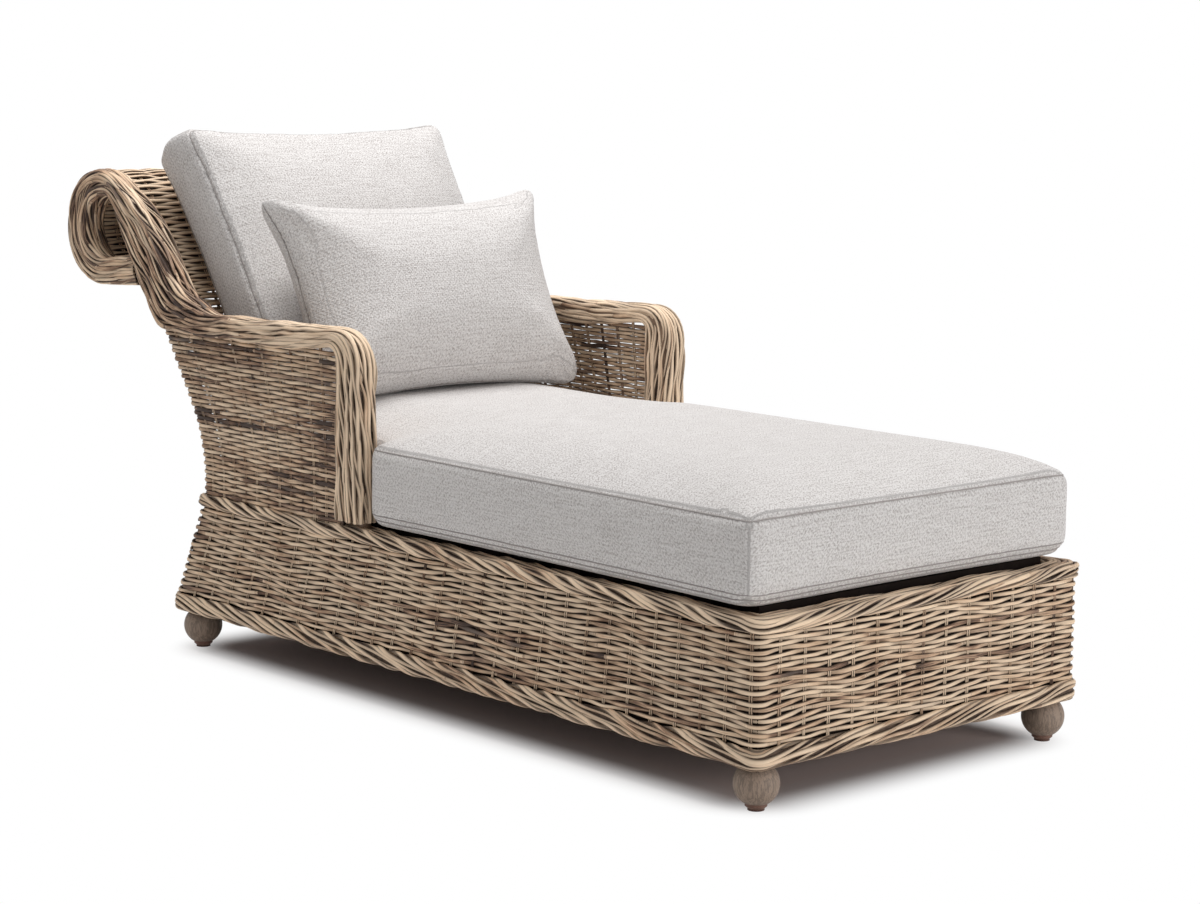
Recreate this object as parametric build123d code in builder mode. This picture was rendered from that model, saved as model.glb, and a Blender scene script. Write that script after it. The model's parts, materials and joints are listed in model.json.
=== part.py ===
from build123d import *
import math
import os

# Rattan sun lounger: a woven box base on four bun feet, low arms, a back that curls over into a scroll,
# and three loose cushions.
# Frame: millimetres, +Z up, origin on the floor under the middle of the whole object. -Y is the foot end,
# +Y the scroll end, and left is -X. Outlines of the side are drawn as (y, z), outlines of the plan as (x, y).

# Base
base_width = 754.0
base_top_length = 1475.0
base_bottom_length = 1555.0
floor_gap = 69.0
deck_height = 300.0
overrun = 20.0
fit_gap = 0.3

# Woven walls and plaited borders
weave_wall = 10.0
border_proud = 6.0
top_border_height = 26.0
top_border_width = 48.0
top_border_round = 10.0
bottom_border_height = 36.0
bottom_border_round = 6.0
corner_radius = 28.0

# Timber frame of the base
rail = 34.0
corner_post = 46.0
mid_post_shares = (0.36, 0.70)
ledger_width = 28.0
ledger_height = 30.0
ledger_rise = 14.0
beam_width = 34.0
slat_count = 14
slat_width = 62.0
slat_thickness = 18.0
slat_end_gap = 5.0
slat_row_gap = 6.0

# Screws of the base
slat_screw_diameter = 4.0
slat_screw_head = 8.0
slat_screw_head_height = 2.4
slat_screw_length = 38.0
frame_screw_diameter = 5.0
frame_screw_head = 11.0
frame_screw_head_height = 4.0
frame_screw_bite = 32.0
frame_screw_stagger = 8.0
screw_gap = 0.15

# Bun feet
foot_diameter = 71.0
foot_middle = 41.0
foot_ring_diameter = 34.0
foot_ring_height = 7.0
foot_inset = 45.0
glide_diameter = 26.0
glide_thickness = 3.0
bolt_diameter = 8.0
bolt_in_foot = 34.0
bolt_in_post = 30.0
nut_diameter = 14.0
nut_height = 14.0

# Arms
pole_diameter = 22.0
braid_thickness = 50.0
braid_outer_round = 14.0
braid_inner_round = 5.0
braid_overhang = 9.0
arm_setback = 960.0
arm_leg_depth = 74.0
arm_height = 641.0
arm_fall = 7.0
arm_braid_depth = 50.0
arm_braid_front_depth = 31.0
arm_taper_length = 150.0
arm_corner_radius = 60.0
arm_inner_radius = 16.0
arm_bend_radius = 40.0
arm_rise_radius = 180.0
arm_braid_length = 405.0

# Back and scroll
back_lean = 56.0
back_braid_depth = 100.0
back_setback = 23.0
back_bend_rise = 97.4
back_bend_radius = 250.0
back_upper_radius = 300.0
back_crest_angle = 120.0
back_corner_radius = 18.0
post_inset = 14.0
sheet_inset = 18.0
scroll_radius = 110.0
scroll_rise = 130.0
scroll_front_reach = 63.0
scroll_skin_inset = 4.0
scroll_underside_rise = 7.0
scroll_hole_radius = 59.0
scroll_hole_shift = 21.0
scroll_hole_tail = 80.0
scroll_hole_corner = 9.0
scroll_pole_end_angle = -110.0
lining_inset = 2.0
rod_diameter = 20.0
scroll_rod_angles = (100.0, 10.0, -80.0)
back_rod_shares = (0.467, 0.828)

# Seat cushion
cover_wall = 6.0
seat_front_setback = 28.0
seat_side_setback = 4.0
seat_arm_gap = 3.0
seat_back_gap = 2.0
seat_edge_height = 137.0
seat_crown = 44.0
seat_crown_inset = 165.0
seat_underside_round = 14.0
seat_corner_radius = 34.0
seat_ear_radius = 16.0
seat_notch_radius = 12.0
seat_tuck = 6.0

# Back cushion
back_cushion_side_gap = 34.0
back_cushion_height = 530.0
back_cushion_edge = 115.0
back_cushion_front_crown = 32.0
back_cushion_rear_crown = 34.0
back_cushion_crown_inset = 150.0
back_cushion_corner = 16.0
back_cushion_tuck = 12.0
back_cushion_rise = 16.8
back_cushion_rear_gap = 1.5

# Lumbar pillow
pillow_side_gap = 33.0
pillow_height = 392.0
pillow_thickness = 172.0
pillow_crown_inset = 120.0
pillow_corner = 10.0
pillow_tuck = 20.0
pillow_lean = 66.0
pillow_settle = 8.85
pillow_nest = 4.8

# Rise of a crown from its seam to its middle, as (share of the height, share of the inset)
crown_shares = ((0.0, 0.0), (0.34, 0.13), (0.62, 0.32), (0.84, 0.60), (1.0, 1.0))
bulge_shares = ((0.0, 0.0), (0.30, 0.07), (0.58, 0.22), (0.82, 0.50), (1.0, 1.0))
underside_shares = ((0.0, 1.0), (0.3, 0.3), (1.0, 0.0))

# Places that follow from those sizes: the leaning back carries the scroll out behind the base
lean_sin = math.sin(math.radians(back_lean))
lean_cos = math.cos(math.radians(back_lean))
scroll_height = arm_height + scroll_rise
arm_rear_height = arm_height - arm_fall
lean_rise = scroll_height - deck_height - back_bend_rise
lean_run = (lean_rise * lean_cos + scroll_front_reach) / lean_sin
overall_length = base_top_length - back_setback + lean_run + scroll_radius
overall_width = base_width + 2 * braid_overhang
front = -overall_length / 2
scroll_y = overall_length / 2 - scroll_radius
arm_front = front + arm_setback
braid_split = arm_front + arm_braid_length
border_half = base_width / 2
weave_half = border_half - border_proud
frame_half = weave_half - weave_wall
frame_front = front + border_proud + weave_wall
border_wall = border_proud + weave_wall
rear_top = front + base_top_length
rear_bottom = front + base_bottom_length
back_foot = rear_top - back_setback
weave_low = floor_gap + bottom_border_height
weave_high = deck_height - top_border_height
frame_rear_low = rear_bottom - border_wall
frame_rear_high = rear_top - border_wall
ledger_high = weave_high + ledger_rise
ledger_low = ledger_high - ledger_height
slat_high = ledger_high + slat_thickness
braid_outer = overall_width / 2
braid_inner = braid_outer - braid_thickness
pole_radius = pole_diameter / 2
pole_x = frame_half - pole_radius - fit_gap
pole_front = arm_front + braid_thickness / 2
rod_radius = rod_diameter / 2
skin_outer = scroll_radius - scroll_skin_inset
skin_inner = skin_outer - weave_wall
rod_reach = skin_inner - rod_radius - fit_gap
sheet_y = back_foot - sheet_inset
post_y = back_foot - post_inset
foot_x = border_half - foot_inset
foot_front_y = front + foot_inset
foot_rear_y = rear_bottom - foot_inset
back_cushion_width = 2 * (braid_inner - back_cushion_side_gap)
pillow_width = 2 * (braid_inner - pillow_side_gap)
sides = {"left": -1, "right": 1}

os.makedirs("parts", exist_ok=True)


def save(builder, label):
    """Name a finished piece and write its file."""
    builder.part.label = label
    export_step(builder.part, f"parts/{label}.step")


def rear_inner(z):
    """Depth of the frame's rear face: upright beside the bottom border, then sloping in to the deck."""
    share = max(0.0, (z - weave_low) / (weave_high - weave_low))
    return frame_rear_low + (frame_rear_high - frame_rear_low) * share


def lean_height(y, reach):
    """Height, at y, of the line that leans with the back and passes in front of the scroll's axis."""
    return scroll_height + (reach + (y - scroll_y) * lean_sin) / lean_cos


def lean_depth(z, reach):
    """Depth, at height z, of the same leaning line."""
    return scroll_y + ((z - scroll_height) * lean_cos - reach) / lean_sin


def around_scroll(angle, radius):
    """Point (y, z) on a circle round the scroll's axis."""
    turn = math.radians(angle)
    return (scroll_y + radius * math.cos(turn), scroll_height + radius * math.sin(turn))


def box_between(x_pair, y_pair, z_pair, mode=Mode.ADD):
    """Square block between two corners."""
    with BuildSketch(Plane.XY.offset(min(z_pair)), mode=Mode.PRIVATE) as outline:
        with Locations((sum(x_pair) / 2, sum(y_pair) / 2)):
            Rectangle(abs(x_pair[1] - x_pair[0]), abs(y_pair[1] - y_pair[0]))
    extrude(outline.sketch, amount=abs(z_pair[1] - z_pair[0]), mode=mode)


def side_block(points, x_low, x_high, mode=Mode.ADD):
    """Block with a side outline of (y, z) points, from x_low to x_high."""
    with BuildSketch(Plane.YZ.offset(x_low), mode=Mode.PRIVATE) as outline:
        with BuildLine():
            Polyline(*points, close=True)
        make_face()
    extrude(outline.sketch, amount=x_high - x_low, mode=mode)


def span(side, near, far):
    """Low and high x of something between two distances from the middle, on one side."""
    return (-far, -near) if side < 0 else (near, far)


# Bores for the feet's bolts, and the screws that join the frame
def bolt_hole(y):
    """Bore for the foot's bolt and its nut, from below, on both sides."""
    with Locations(*[(s * foot_x, y, floor_gap) for s in (-1, 1)]):
        Cylinder(bolt_diameter / 2 + screw_gap, bolt_in_post + fit_gap,
                 align=(Align.CENTER, Align.CENTER, Align.MIN), mode=Mode.SUBTRACT)
        Cylinder(nut_diameter / 2 + screw_gap, nut_height + screw_gap,
                 align=(Align.CENTER, Align.CENTER, Align.MIN), mode=Mode.SUBTRACT)


rail_levels = (floor_gap + rail / 2, weave_high - rail / 2)
cross_screws = [
    (s * frame_half, y, z + frame_screw_stagger / 2, Axis.X, -s)
    for s in (-1, 1)
    for z in rail_levels
    for y in (frame_front + rail / 2, rear_inner(z + frame_screw_stagger / 2) - rail / 2)
]
long_screws = [
    (s * (frame_half - rail / 2), y, z - frame_screw_stagger / 2, Axis.Y, turn)
    for s in (-1, 1)
    for z in rail_levels
    for y, turn in ((frame_front, 1), (rear_inner(z - frame_screw_stagger / 2), -1))
]
frame_screw_places = cross_screws + long_screws


def frame_screw_plane(place):
    """Plane at a frame screw's head, looking along the screw."""
    x, y, z, axis, turn = place
    along = (turn, 0, 0) if axis == Axis.X else (0, turn, 0)
    return Plane(origin=(x, y, z), z_dir=along)


with BuildPart() as frame_screws:
    for place in frame_screw_places:
        plane = frame_screw_plane(place)
        with Locations(plane.offset(frame_screw_diameter)):
            Cylinder(frame_screw_head / 2, frame_screw_head_height,
                     align=(Align.CENTER, Align.CENTER, Align.MIN))
            Cylinder(frame_screw_diameter / 2, corner_post + frame_screw_bite - frame_screw_diameter,
                     align=(Align.CENTER, Align.CENTER, Align.MIN))
save(frame_screws, "frame_screws")


def bore_frame_screws():
    """Bores for the frame's screws: a wide one for each head and a narrow one for each shank."""
    for place in frame_screw_places:
        plane = frame_screw_plane(place)
        with Locations(plane.offset(-overrun)):
            Cylinder(frame_screw_head / 2 + screw_gap,
                     overrun + frame_screw_diameter + frame_screw_head_height + screw_gap,
                     align=(Align.CENTER, Align.CENTER, Align.MIN), mode=Mode.SUBTRACT)
        with Locations(plane):
            Cylinder(frame_screw_diameter / 2 + screw_gap, corner_post + frame_screw_bite + screw_gap,
                     align=(Align.CENTER, Align.CENTER, Align.MIN), mode=Mode.SUBTRACT)


# Corner posts: the rear ones stand upright beside the bottom border and then lean in with the rear wall
front_post_side = [
    (frame_front, floor_gap),
    (frame_front + corner_post, floor_gap),
    (frame_front + corner_post, weave_high),
    (frame_front, weave_high),
]
rear_post_side = [
    (rear_inner(floor_gap) - corner_post, floor_gap),
    (rear_inner(floor_gap), floor_gap),
    (rear_inner(weave_low), weave_low),
    (rear_inner(weave_high), weave_high),
    (rear_inner(weave_high) - corner_post, weave_high),
    (rear_inner(weave_low) - corner_post, weave_low),
]
for side_name, side in sides.items():
    for end_name, outline, foot_y in (
        ("front", front_post_side, foot_front_y),
        ("rear", rear_post_side, foot_rear_y),
    ):
        with BuildPart() as post:
            side_block(outline, *span(side, frame_half - corner_post, frame_half))
            bolt_hole(foot_y)
            bore_frame_screws()
        save(post, f"{end_name}_{side_name}_post")

# Rails between the posts
for level_name, low in (("bottom", floor_gap), ("top", weave_high - rail)):
    high = low + rail
    for side_name, side in sides.items():
        with BuildPart() as side_rail:
            side_block(
                [
                    (frame_front + corner_post, low),
                    (rear_inner(low) - corner_post, low),
                    (rear_inner(high) - corner_post, high),
                    (frame_front + corner_post, high),
                ],
                *span(side, frame_half - rail, frame_half),
            )
            bore_frame_screws()
        save(side_rail, f"{side_name}_{level_name}_rail")
    with BuildPart() as front_rail:
        side_block(
            [(frame_front, low), (frame_front + rail, low), (frame_front + rail, high), (frame_front, high)],
            corner_post - frame_half,
            frame_half - corner_post,
        )
        bore_frame_screws()
    save(front_rail, f"front_{level_name}_rail")
    with BuildPart() as rear_rail:
        side_block(
            [
                (rear_inner(low) - rail, low),
                (rear_inner(low), low),
                (rear_inner(high), high),
                (rear_inner(high) - rail, high),
            ],
            corner_post - frame_half,
            frame_half - corner_post,
        )
        bore_frame_screws()
    save(rear_rail, f"rear_{level_name}_rail")

# Mid posts between the side rails
post_run = frame_rear_high - frame_front
for side_name, side in sides.items():
    with BuildPart() as mid_posts:
        for share in mid_post_shares:
            middle = frame_front + post_run * share
            box_between(
                span(side, frame_half - rail, frame_half),
                (middle - rail / 2, middle + rail / 2),
                (floor_gap + rail, weave_high - rail),
            )
    save(mid_posts, f"{side_name}_mid_posts")

# Slats, the ledgers and the beam that carry them, and their screws
slat_start = front + top_border_width + slat_row_gap
slat_end = rear_top - top_border_width - slat_row_gap
slat_pitch = (slat_end - slat_start - slat_width) / (slat_count - 1)
slat_middles = [slat_start + slat_width / 2 + slat_pitch * i for i in range(slat_count)]
slat_half = border_half - top_border_width - slat_end_gap
ledger_front = frame_front + corner_post
ledger_rear = rear_inner(weave_high) - corner_post
screw_x = frame_half - rail - ledger_width / 2
screw_rows = [
    (s * screw_x, min(max(y, ledger_front + slat_screw_head), ledger_rear - slat_screw_head), slat_high)
    for s in (-1, 1)
    for y in slat_middles
]


def bore_slat_screws():
    """Bores down through slats and ledgers for the slat screws."""
    down = (Align.CENTER, Align.CENTER, Align.MAX)
    with Locations(*screw_rows):
        Cylinder(slat_screw_diameter / 2 + screw_gap, slat_screw_length + screw_gap, align=down,
                 mode=Mode.SUBTRACT)
        Cylinder(slat_screw_head / 2 + screw_gap, slat_screw_head_height + screw_gap, align=down,
                 mode=Mode.SUBTRACT)


with BuildPart() as slat_screws:
    with Locations(*screw_rows):
        Cylinder(slat_screw_diameter / 2, slat_screw_length, align=(Align.CENTER, Align.CENTER, Align.MAX))
        Cylinder(slat_screw_head / 2, slat_screw_head_height, align=(Align.CENTER, Align.CENTER, Align.MAX))
save(slat_screws, "slat_screws")

with BuildPart() as seat_slats:
    for middle in slat_middles:
        box_between(
            (-slat_half, slat_half),
            (middle - slat_width / 2, middle + slat_width / 2),
            (ledger_high, slat_high),
        )
    bore_slat_screws()
save(seat_slats, "seat_slats")

for side_name, side in sides.items():
    with BuildPart() as ledger:
        box_between(
            span(side, frame_half - rail - ledger_width, frame_half - rail),
            (ledger_front, ledger_rear),
            (ledger_low, ledger_high),
        )
        bore_slat_screws()
    save(ledger, f"{side_name}_slat_ledger")

with BuildPart() as centre_beam:
    side_block(
        [
            (frame_front + rail, ledger_high - rail),
            (rear_inner(ledger_high - rail) - rail, ledger_high - rail),
            (rear_inner(weave_high) - rail, weave_high),
            (rear_inner(weave_high) - rail, ledger_high),
            (frame_front + rail, ledger_high),
        ],
        -beam_width / 2,
        beam_width / 2,
    )
save(centre_beam, "centre_beam")

# Bun feet with their bolts, nuts and glides
foot_radius = foot_diameter / 2
foot_top_radius = math.sqrt(foot_radius**2 - (floor_gap - foot_middle) ** 2)
ring_top = glide_thickness + foot_ring_height
ring_top_radius = math.sqrt(foot_radius**2 - (foot_middle - ring_top) ** 2)
for end_name, foot_y in (("front", foot_front_y), ("rear", foot_rear_y)):
    for side_name, side in sides.items():
        with BuildPart() as foot:
            with BuildSketch(Plane(origin=(side * foot_x, foot_y, 0), x_dir=(1, 0, 0), z_dir=(0, -1, 0))):
                with BuildLine():
                    Polyline(
                        (0, floor_gap),
                        (0, glide_thickness),
                        (glide_diameter / 2, glide_thickness),
                        (foot_ring_diameter / 2, (glide_thickness + ring_top) / 2),
                        (ring_top_radius, ring_top),
                    )
                    ThreePointArc(
                        (ring_top_radius, ring_top),
                        (foot_radius, foot_middle),
                        (foot_top_radius, floor_gap),
                    )
                    Line((foot_top_radius, floor_gap), (0, floor_gap))
                make_face()
            revolve(axis=Axis((side * foot_x, foot_y, 0), (0, 0, 1)))
            with Locations((side * foot_x, foot_y, floor_gap)):
                Cylinder(bolt_diameter / 2 + screw_gap, bolt_in_foot + fit_gap,
                         align=(Align.CENTER, Align.CENTER, Align.MAX), mode=Mode.SUBTRACT)
        save(foot, f"{end_name}_{side_name}_foot")

foot_places = [(s * foot_x, y, floor_gap) for y in (foot_front_y, foot_rear_y) for s in (-1, 1)]
with BuildPart() as foot_bolts:
    with Locations(*foot_places):
        Cylinder(bolt_diameter / 2, bolt_in_foot, align=(Align.CENTER, Align.CENTER, Align.MAX))
        Cylinder(bolt_diameter / 2, bolt_in_post, align=(Align.CENTER, Align.CENTER, Align.MIN))
save(foot_bolts, "foot_bolts")

with BuildPart() as foot_nuts:
    with Locations(*foot_places):
        Cylinder(nut_diameter / 2, nut_height, align=(Align.CENTER, Align.CENTER, Align.MIN))
        Cylinder(bolt_diameter / 2 + screw_gap, nut_height, align=(Align.CENTER, Align.CENTER, Align.MIN),
                 mode=Mode.SUBTRACT)
save(foot_nuts, "foot_nuts")

with BuildPart() as foot_glides:
    with Locations(*[(x, y, 0) for x, y, z in foot_places]):
        Cylinder(glide_diameter / 2, glide_thickness, align=(Align.CENTER, Align.CENTER, Align.MIN))
save(foot_glides, "foot_glides")


# Woven walls and borders of the base, mitred in the corners
def wall_wedges(half, y_front, y_rear, wall):
    """Plan outlines that part a ring of wall into its four sides along the mitres."""
    out_x = half + overrun
    in_x = half - wall - overrun
    out_front = y_front - overrun
    in_front = y_front + wall + overrun
    out_rear = y_rear + overrun
    in_rear = y_rear - wall - overrun
    return {
        "left": [(-out_x, out_front), (-in_x, in_front), (-in_x, in_rear), (-out_x, out_rear)],
        "right": [(out_x, out_front), (in_x, in_front), (in_x, in_rear), (out_x, out_rear)],
        "front": [(-out_x, out_front), (-in_x, in_front), (in_x, in_front), (out_x, out_front)],
        "rear": [(-out_x, out_rear), (-in_x, in_rear), (in_x, in_rear), (out_x, out_rear)],
    }


def plan_level(z, half, y_front, y_rear, radius):
    """Plan rectangle at height z, with rounded corners where a radius is given."""
    with BuildSketch(Plane.XY.offset(z), mode=Mode.PRIVATE) as outline:
        with Locations((0, (y_front + y_rear) / 2)):
            if radius > 0:
                RectangleRounded(2 * half, y_rear - y_front, radius)
            else:
                Rectangle(2 * half, y_rear - y_front)
    return outline.sketch


def plan_polygon(z, points):
    """Plan polygon at height z."""
    with BuildSketch(Plane.XY.offset(z), mode=Mode.PRIVATE) as outline:
        with BuildLine():
            Polyline(*points, close=True)
        make_face()
    return outline.sketch


with BuildPart() as bottom_ring:
    extrude(plan_level(floor_gap, border_half, front, rear_bottom, corner_radius),
            amount=bottom_border_height)
    fillet(bottom_ring.edges().filter_by(Plane.XY), bottom_border_round)
    extrude(plan_level(floor_gap, frame_half, frame_front, frame_rear_low, 0),
            amount=bottom_border_height, mode=Mode.SUBTRACT)

with BuildPart() as wall_ring:
    wall_radius = corner_radius - border_proud
    wall_front = front + border_proud
    loft([
        plan_level(weave_low, weave_half, wall_front, rear_bottom - border_proud, wall_radius),
        plan_level(weave_high, weave_half, wall_front, rear_top - border_proud, wall_radius),
    ], ruled=True)
    loft([
        plan_level(weave_low, frame_half, frame_front, frame_rear_low, 0),
        plan_level(weave_high, frame_half, frame_front, frame_rear_high, 0),
    ], ruled=True, mode=Mode.SUBTRACT)

with BuildPart() as top_ring:
    extrude(plan_level(weave_high, border_half, front, rear_top, corner_radius), amount=top_border_height)
    fillet(top_ring.edges().filter_by(Plane.XY), top_border_round)
    extrude(plan_level(weave_high, border_half - top_border_width, front + top_border_width,
                       rear_top - top_border_width, 0),
            amount=top_border_height, mode=Mode.SUBTRACT)
    with Locations(*[(s * pole_x, y, weave_high) for s in (-1, 1) for y in (pole_front, post_y)]):
        Cylinder(pole_radius + fit_gap, top_border_height,
                 align=(Align.CENTER, Align.CENTER, Align.MIN), mode=Mode.SUBTRACT)

bottom_wedges = wall_wedges(border_half, front, rear_bottom, border_wall)
wall_wedges_low = wall_wedges(weave_half, front + border_proud, rear_bottom - border_proud, weave_wall)
wall_wedges_high = wall_wedges(weave_half, front + border_proud, rear_top - border_proud, weave_wall)
top_wedges = wall_wedges(border_half, front, rear_top, top_border_width)
for name in ("left", "right", "front", "rear"):
    with BuildPart() as bottom_border:
        extrude(plan_polygon(floor_gap, bottom_wedges[name]), amount=bottom_border_height)
        add(bottom_ring.part, mode=Mode.INTERSECT)
    save(bottom_border, f"{name}_bottom_border")
    with BuildPart() as base_weave:
        loft([plan_polygon(weave_low, wall_wedges_low[name]),
              plan_polygon(weave_high, wall_wedges_high[name])], ruled=True)
        add(wall_ring.part, mode=Mode.INTERSECT)
    save(base_weave, f"base_weave_{name}")
    with BuildPart() as top_border:
        extrude(plan_polygon(weave_high, top_wedges[name]), amount=top_border_height)
        add(top_ring.part, mode=Mode.INTERSECT)
    save(top_border, f"{name}_top_border")

# Side outlines of the arms, the back and the scroll
band_front_reach = scroll_front_reach + back_braid_depth
crest = around_scroll(back_crest_angle, scroll_radius)
crest_slope = math.radians(back_crest_angle - 90.0)
rise_corner = (lean_depth(arm_rear_height, band_front_reach), arm_rear_height)
crest_corner_y = (
    (crest[1] - math.tan(crest_slope) * crest[0]) - lean_height(0, band_front_reach)
) / (math.tan(math.radians(back_lean)) - math.tan(crest_slope))
crest_corner = (crest_corner_y, lean_height(crest_corner_y, band_front_reach))
scroll_base = (scroll_y, scroll_height - scroll_radius)
underside_z = scroll_base[1] + scroll_underside_rise
underside_corner = (lean_depth(underside_z, scroll_front_reach), underside_z)
arm_low = arm_height - arm_braid_depth
rear_corner = (lean_depth(arm_low, scroll_front_reach), arm_low)
taper_point = (arm_front + arm_leg_depth + arm_taper_length, arm_low)
leg_corner = (arm_front + arm_leg_depth, arm_height - arm_braid_front_depth)


def side_outline(x):
    """Arm front, arm top, rise of the back and scroll in one closed outline, down to the deck."""
    with BuildSketch(Plane.YZ.offset(x), mode=Mode.PRIVATE) as outline:
        with BuildLine():
            FilletPolyline(
                (arm_front, deck_height - overrun),
                (arm_front, arm_height),
                rise_corner,
                crest_corner,
                crest,
                radius=[arm_corner_radius, arm_rise_radius, back_upper_radius],
            )
            CenterArc((scroll_y, scroll_height), scroll_radius, back_crest_angle, -90.0 - back_crest_angle)
            FilletPolyline(
                scroll_base,
                underside_corner,
                rear_corner,
                taper_point,
                leg_corner,
                (leg_corner[0], deck_height - overrun),
                radius=[back_corner_radius, back_corner_radius, back_bend_radius, arm_inner_radius],
            )
            Line((leg_corner[0], deck_height - overrun), (arm_front, deck_height - overrun))
        make_face()
    return outline.sketch


# The hole is round behind and flat in front, with a tail that runs down along the back
hole_centre = (scroll_y - scroll_hole_shift, scroll_height)


def hole_outline(x, grow):
    """Opening of the scroll, grown outwards by a margin."""
    radius = scroll_hole_radius + grow
    reach = scroll_front_reach + grow - scroll_hole_shift * lean_sin
    half_chord = math.sqrt(radius**2 - reach**2)
    chord_foot = (hole_centre[0] - reach * lean_sin, hole_centre[1] + reach * lean_cos)
    upper = (chord_foot[0] + half_chord * lean_cos, chord_foot[1] + half_chord * lean_sin)
    tail_run = scroll_hole_tail + grow
    tail = (chord_foot[0] - tail_run * lean_cos, chord_foot[1] - tail_run * lean_sin)
    tail_turn = math.atan2(tail[1] - hole_centre[1], tail[0] - hole_centre[0])
    base_turn = tail_turn + math.acos(radius / math.dist(tail, hole_centre))
    upper_turn = math.atan2(upper[1] - hole_centre[1], upper[0] - hole_centre[0])
    stops = [(upper_turn * (4 - i) + base_turn * i) / 4 for i in range(5)]
    arc = [(hole_centre[0] + radius * math.cos(a), hole_centre[1] + radius * math.sin(a)) for a in stops]
    with BuildSketch(Plane.YZ.offset(x), mode=Mode.PRIVATE) as outline:
        with BuildLine():
            Line(tail, upper)
            ThreePointArc(upper, arc[1], arc[2])
            ThreePointArc(arc[2], arc[3], arc[4])
            Line(arc[4], tail)
        make_face()
        sharp = [outline.vertices().sort_by_distance(Vector(*corner))[0] for corner in (tail, upper)]
        fillet(sharp, scroll_hole_corner)
    return outline.sketch


# Bent poles inside the braids, and the upright posts of the back
pole_arm_z = arm_height - arm_braid_depth / 2
pole_corner = (lean_depth(pole_arm_z, rod_reach), pole_arm_z)
ring_start = 90.0 + back_lean
ring_entry = around_scroll(ring_start, rod_reach)


def arm_pole_shape(x, radius, mode=Mode.ADD):
    """Round pole up the arm's front, along its top, up the back and round the scroll."""
    with BuildLine(Plane.YZ.offset(x), mode=Mode.PRIVATE) as route:
        FilletPolyline(
            (pole_front, weave_high),
            (pole_front, pole_arm_z),
            pole_corner,
            ring_entry,
            radius=[arm_bend_radius, arm_rise_radius],
        )
        CenterArc((scroll_y, scroll_height), rod_reach, ring_start, scroll_pole_end_angle - ring_start)
    with BuildSketch(Plane(origin=(x, pole_front, weave_high), z_dir=(0, 0, 1)), mode=Mode.PRIVATE) as ring:
        Circle(radius)
    sweep(ring.sketch, path=route.line, mode=mode)


post_reach = scroll_front_reach + post_inset
post_top_z = pole_arm_z - pole_diameter - fit_gap
post_corner = (post_y, lean_height(post_y, post_reach))
post_top = (lean_depth(post_top_z, post_reach), post_top_z)


def back_post_shape(x, radius, mode=Mode.ADD):
    """Round post from the rear corner post up the rear edge of the side, to just under the arm pole."""
    with BuildLine(Plane.YZ.offset(x), mode=Mode.PRIVATE) as route:
        FilletPolyline((post_y, weave_high), post_corner, post_top, radius=[back_bend_radius])
    with BuildSketch(Plane(origin=(x, post_y, weave_high), z_dir=(0, 0, 1)), mode=Mode.PRIVATE) as ring:
        Circle(radius)
    sweep(ring.sketch, path=route.line, mode=mode)


for side_name, side in sides.items():
    with BuildPart() as arm_pole:
        arm_pole_shape(side * pole_x, pole_radius)
    save(arm_pole, f"{side_name}_arm_pole")
    with BuildPart() as back_post:
        back_post_shape(side * pole_x, pole_radius)
    save(back_post, f"{side_name}_back_post")

# Braids over the arms and up the back to the scroll
for side_name, side in sides.items():
    x_low, x_high = span(side, braid_inner, braid_outer)
    with BuildPart() as side_braid:
        extrude(side_outline(x_low), amount=x_high - x_low)
        extrude(hole_outline(x_low, 0), amount=x_high - x_low, mode=Mode.SUBTRACT)
        outer_face = side_braid.faces().sort_by(Axis.X)[-1 if side > 0 else 0]
        fillet(outer_face.edges(), braid_outer_round)
        inner_face = side_braid.faces().sort_by(Axis.X)[0 if side > 0 else -1]
        fillet(inner_face.edges(), braid_inner_round)
        arm_pole_shape(side * pole_x, pole_radius + fit_gap, mode=Mode.SUBTRACT)
        back_post_shape(side * pole_x, pole_radius + fit_gap, mode=Mode.SUBTRACT)
        box_between((x_low - overrun, x_high + overrun), (arm_front - overrun, leg_corner[0] + overrun),
                    (deck_height - 2 * overrun, deck_height), mode=Mode.SUBTRACT)
    with BuildPart() as arm_braid:
        add(side_braid.part)
        split(bisect_by=Plane.XZ.offset(-braid_split), keep=Keep.TOP)
    with BuildPart() as back_braid:
        add(side_braid.part)
        split(bisect_by=Plane.XZ.offset(-braid_split), keep=Keep.BOTTOM)
    save(arm_braid, f"{side_name}_arm_braid")
    save(back_braid, f"{side_name}_back_braid")

# Woven sides of the arms, between the deck, the braids and the rear edge
silhouette_corner = (back_foot, lean_height(back_foot, scroll_front_reach))
silhouette_top = (lean_depth(pole_arm_z, scroll_front_reach), pole_arm_z)
for side_name, side in sides.items():
    x_low, x_high = span(side, frame_half, weave_half)
    with BuildPart() as arm_weave:
        with BuildSketch(Plane.YZ.offset(x_low)):
            with BuildLine():
                FilletPolyline((back_foot, deck_height), silhouette_corner, silhouette_top,
                               radius=[back_bend_radius])
                Polyline(silhouette_top, (pole_front, pole_arm_z), (pole_front, deck_height),
                         (back_foot, deck_height))
            make_face()
        extrude(amount=x_high - x_low)
        extrude(side_outline(x_low), amount=x_high - x_low, mode=Mode.SUBTRACT)
    save(arm_weave, f"{side_name}_arm_weave")


# Woven back, from the rear border up to the scroll, and the scroll's skin and lining
def sheet_line(reach, y):
    """Run of one face of the back: upright at the deck, then leaning to the scroll."""
    return [(y, deck_height), (y, lean_height(y, reach)), around_scroll(ring_start, reach)]


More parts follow.
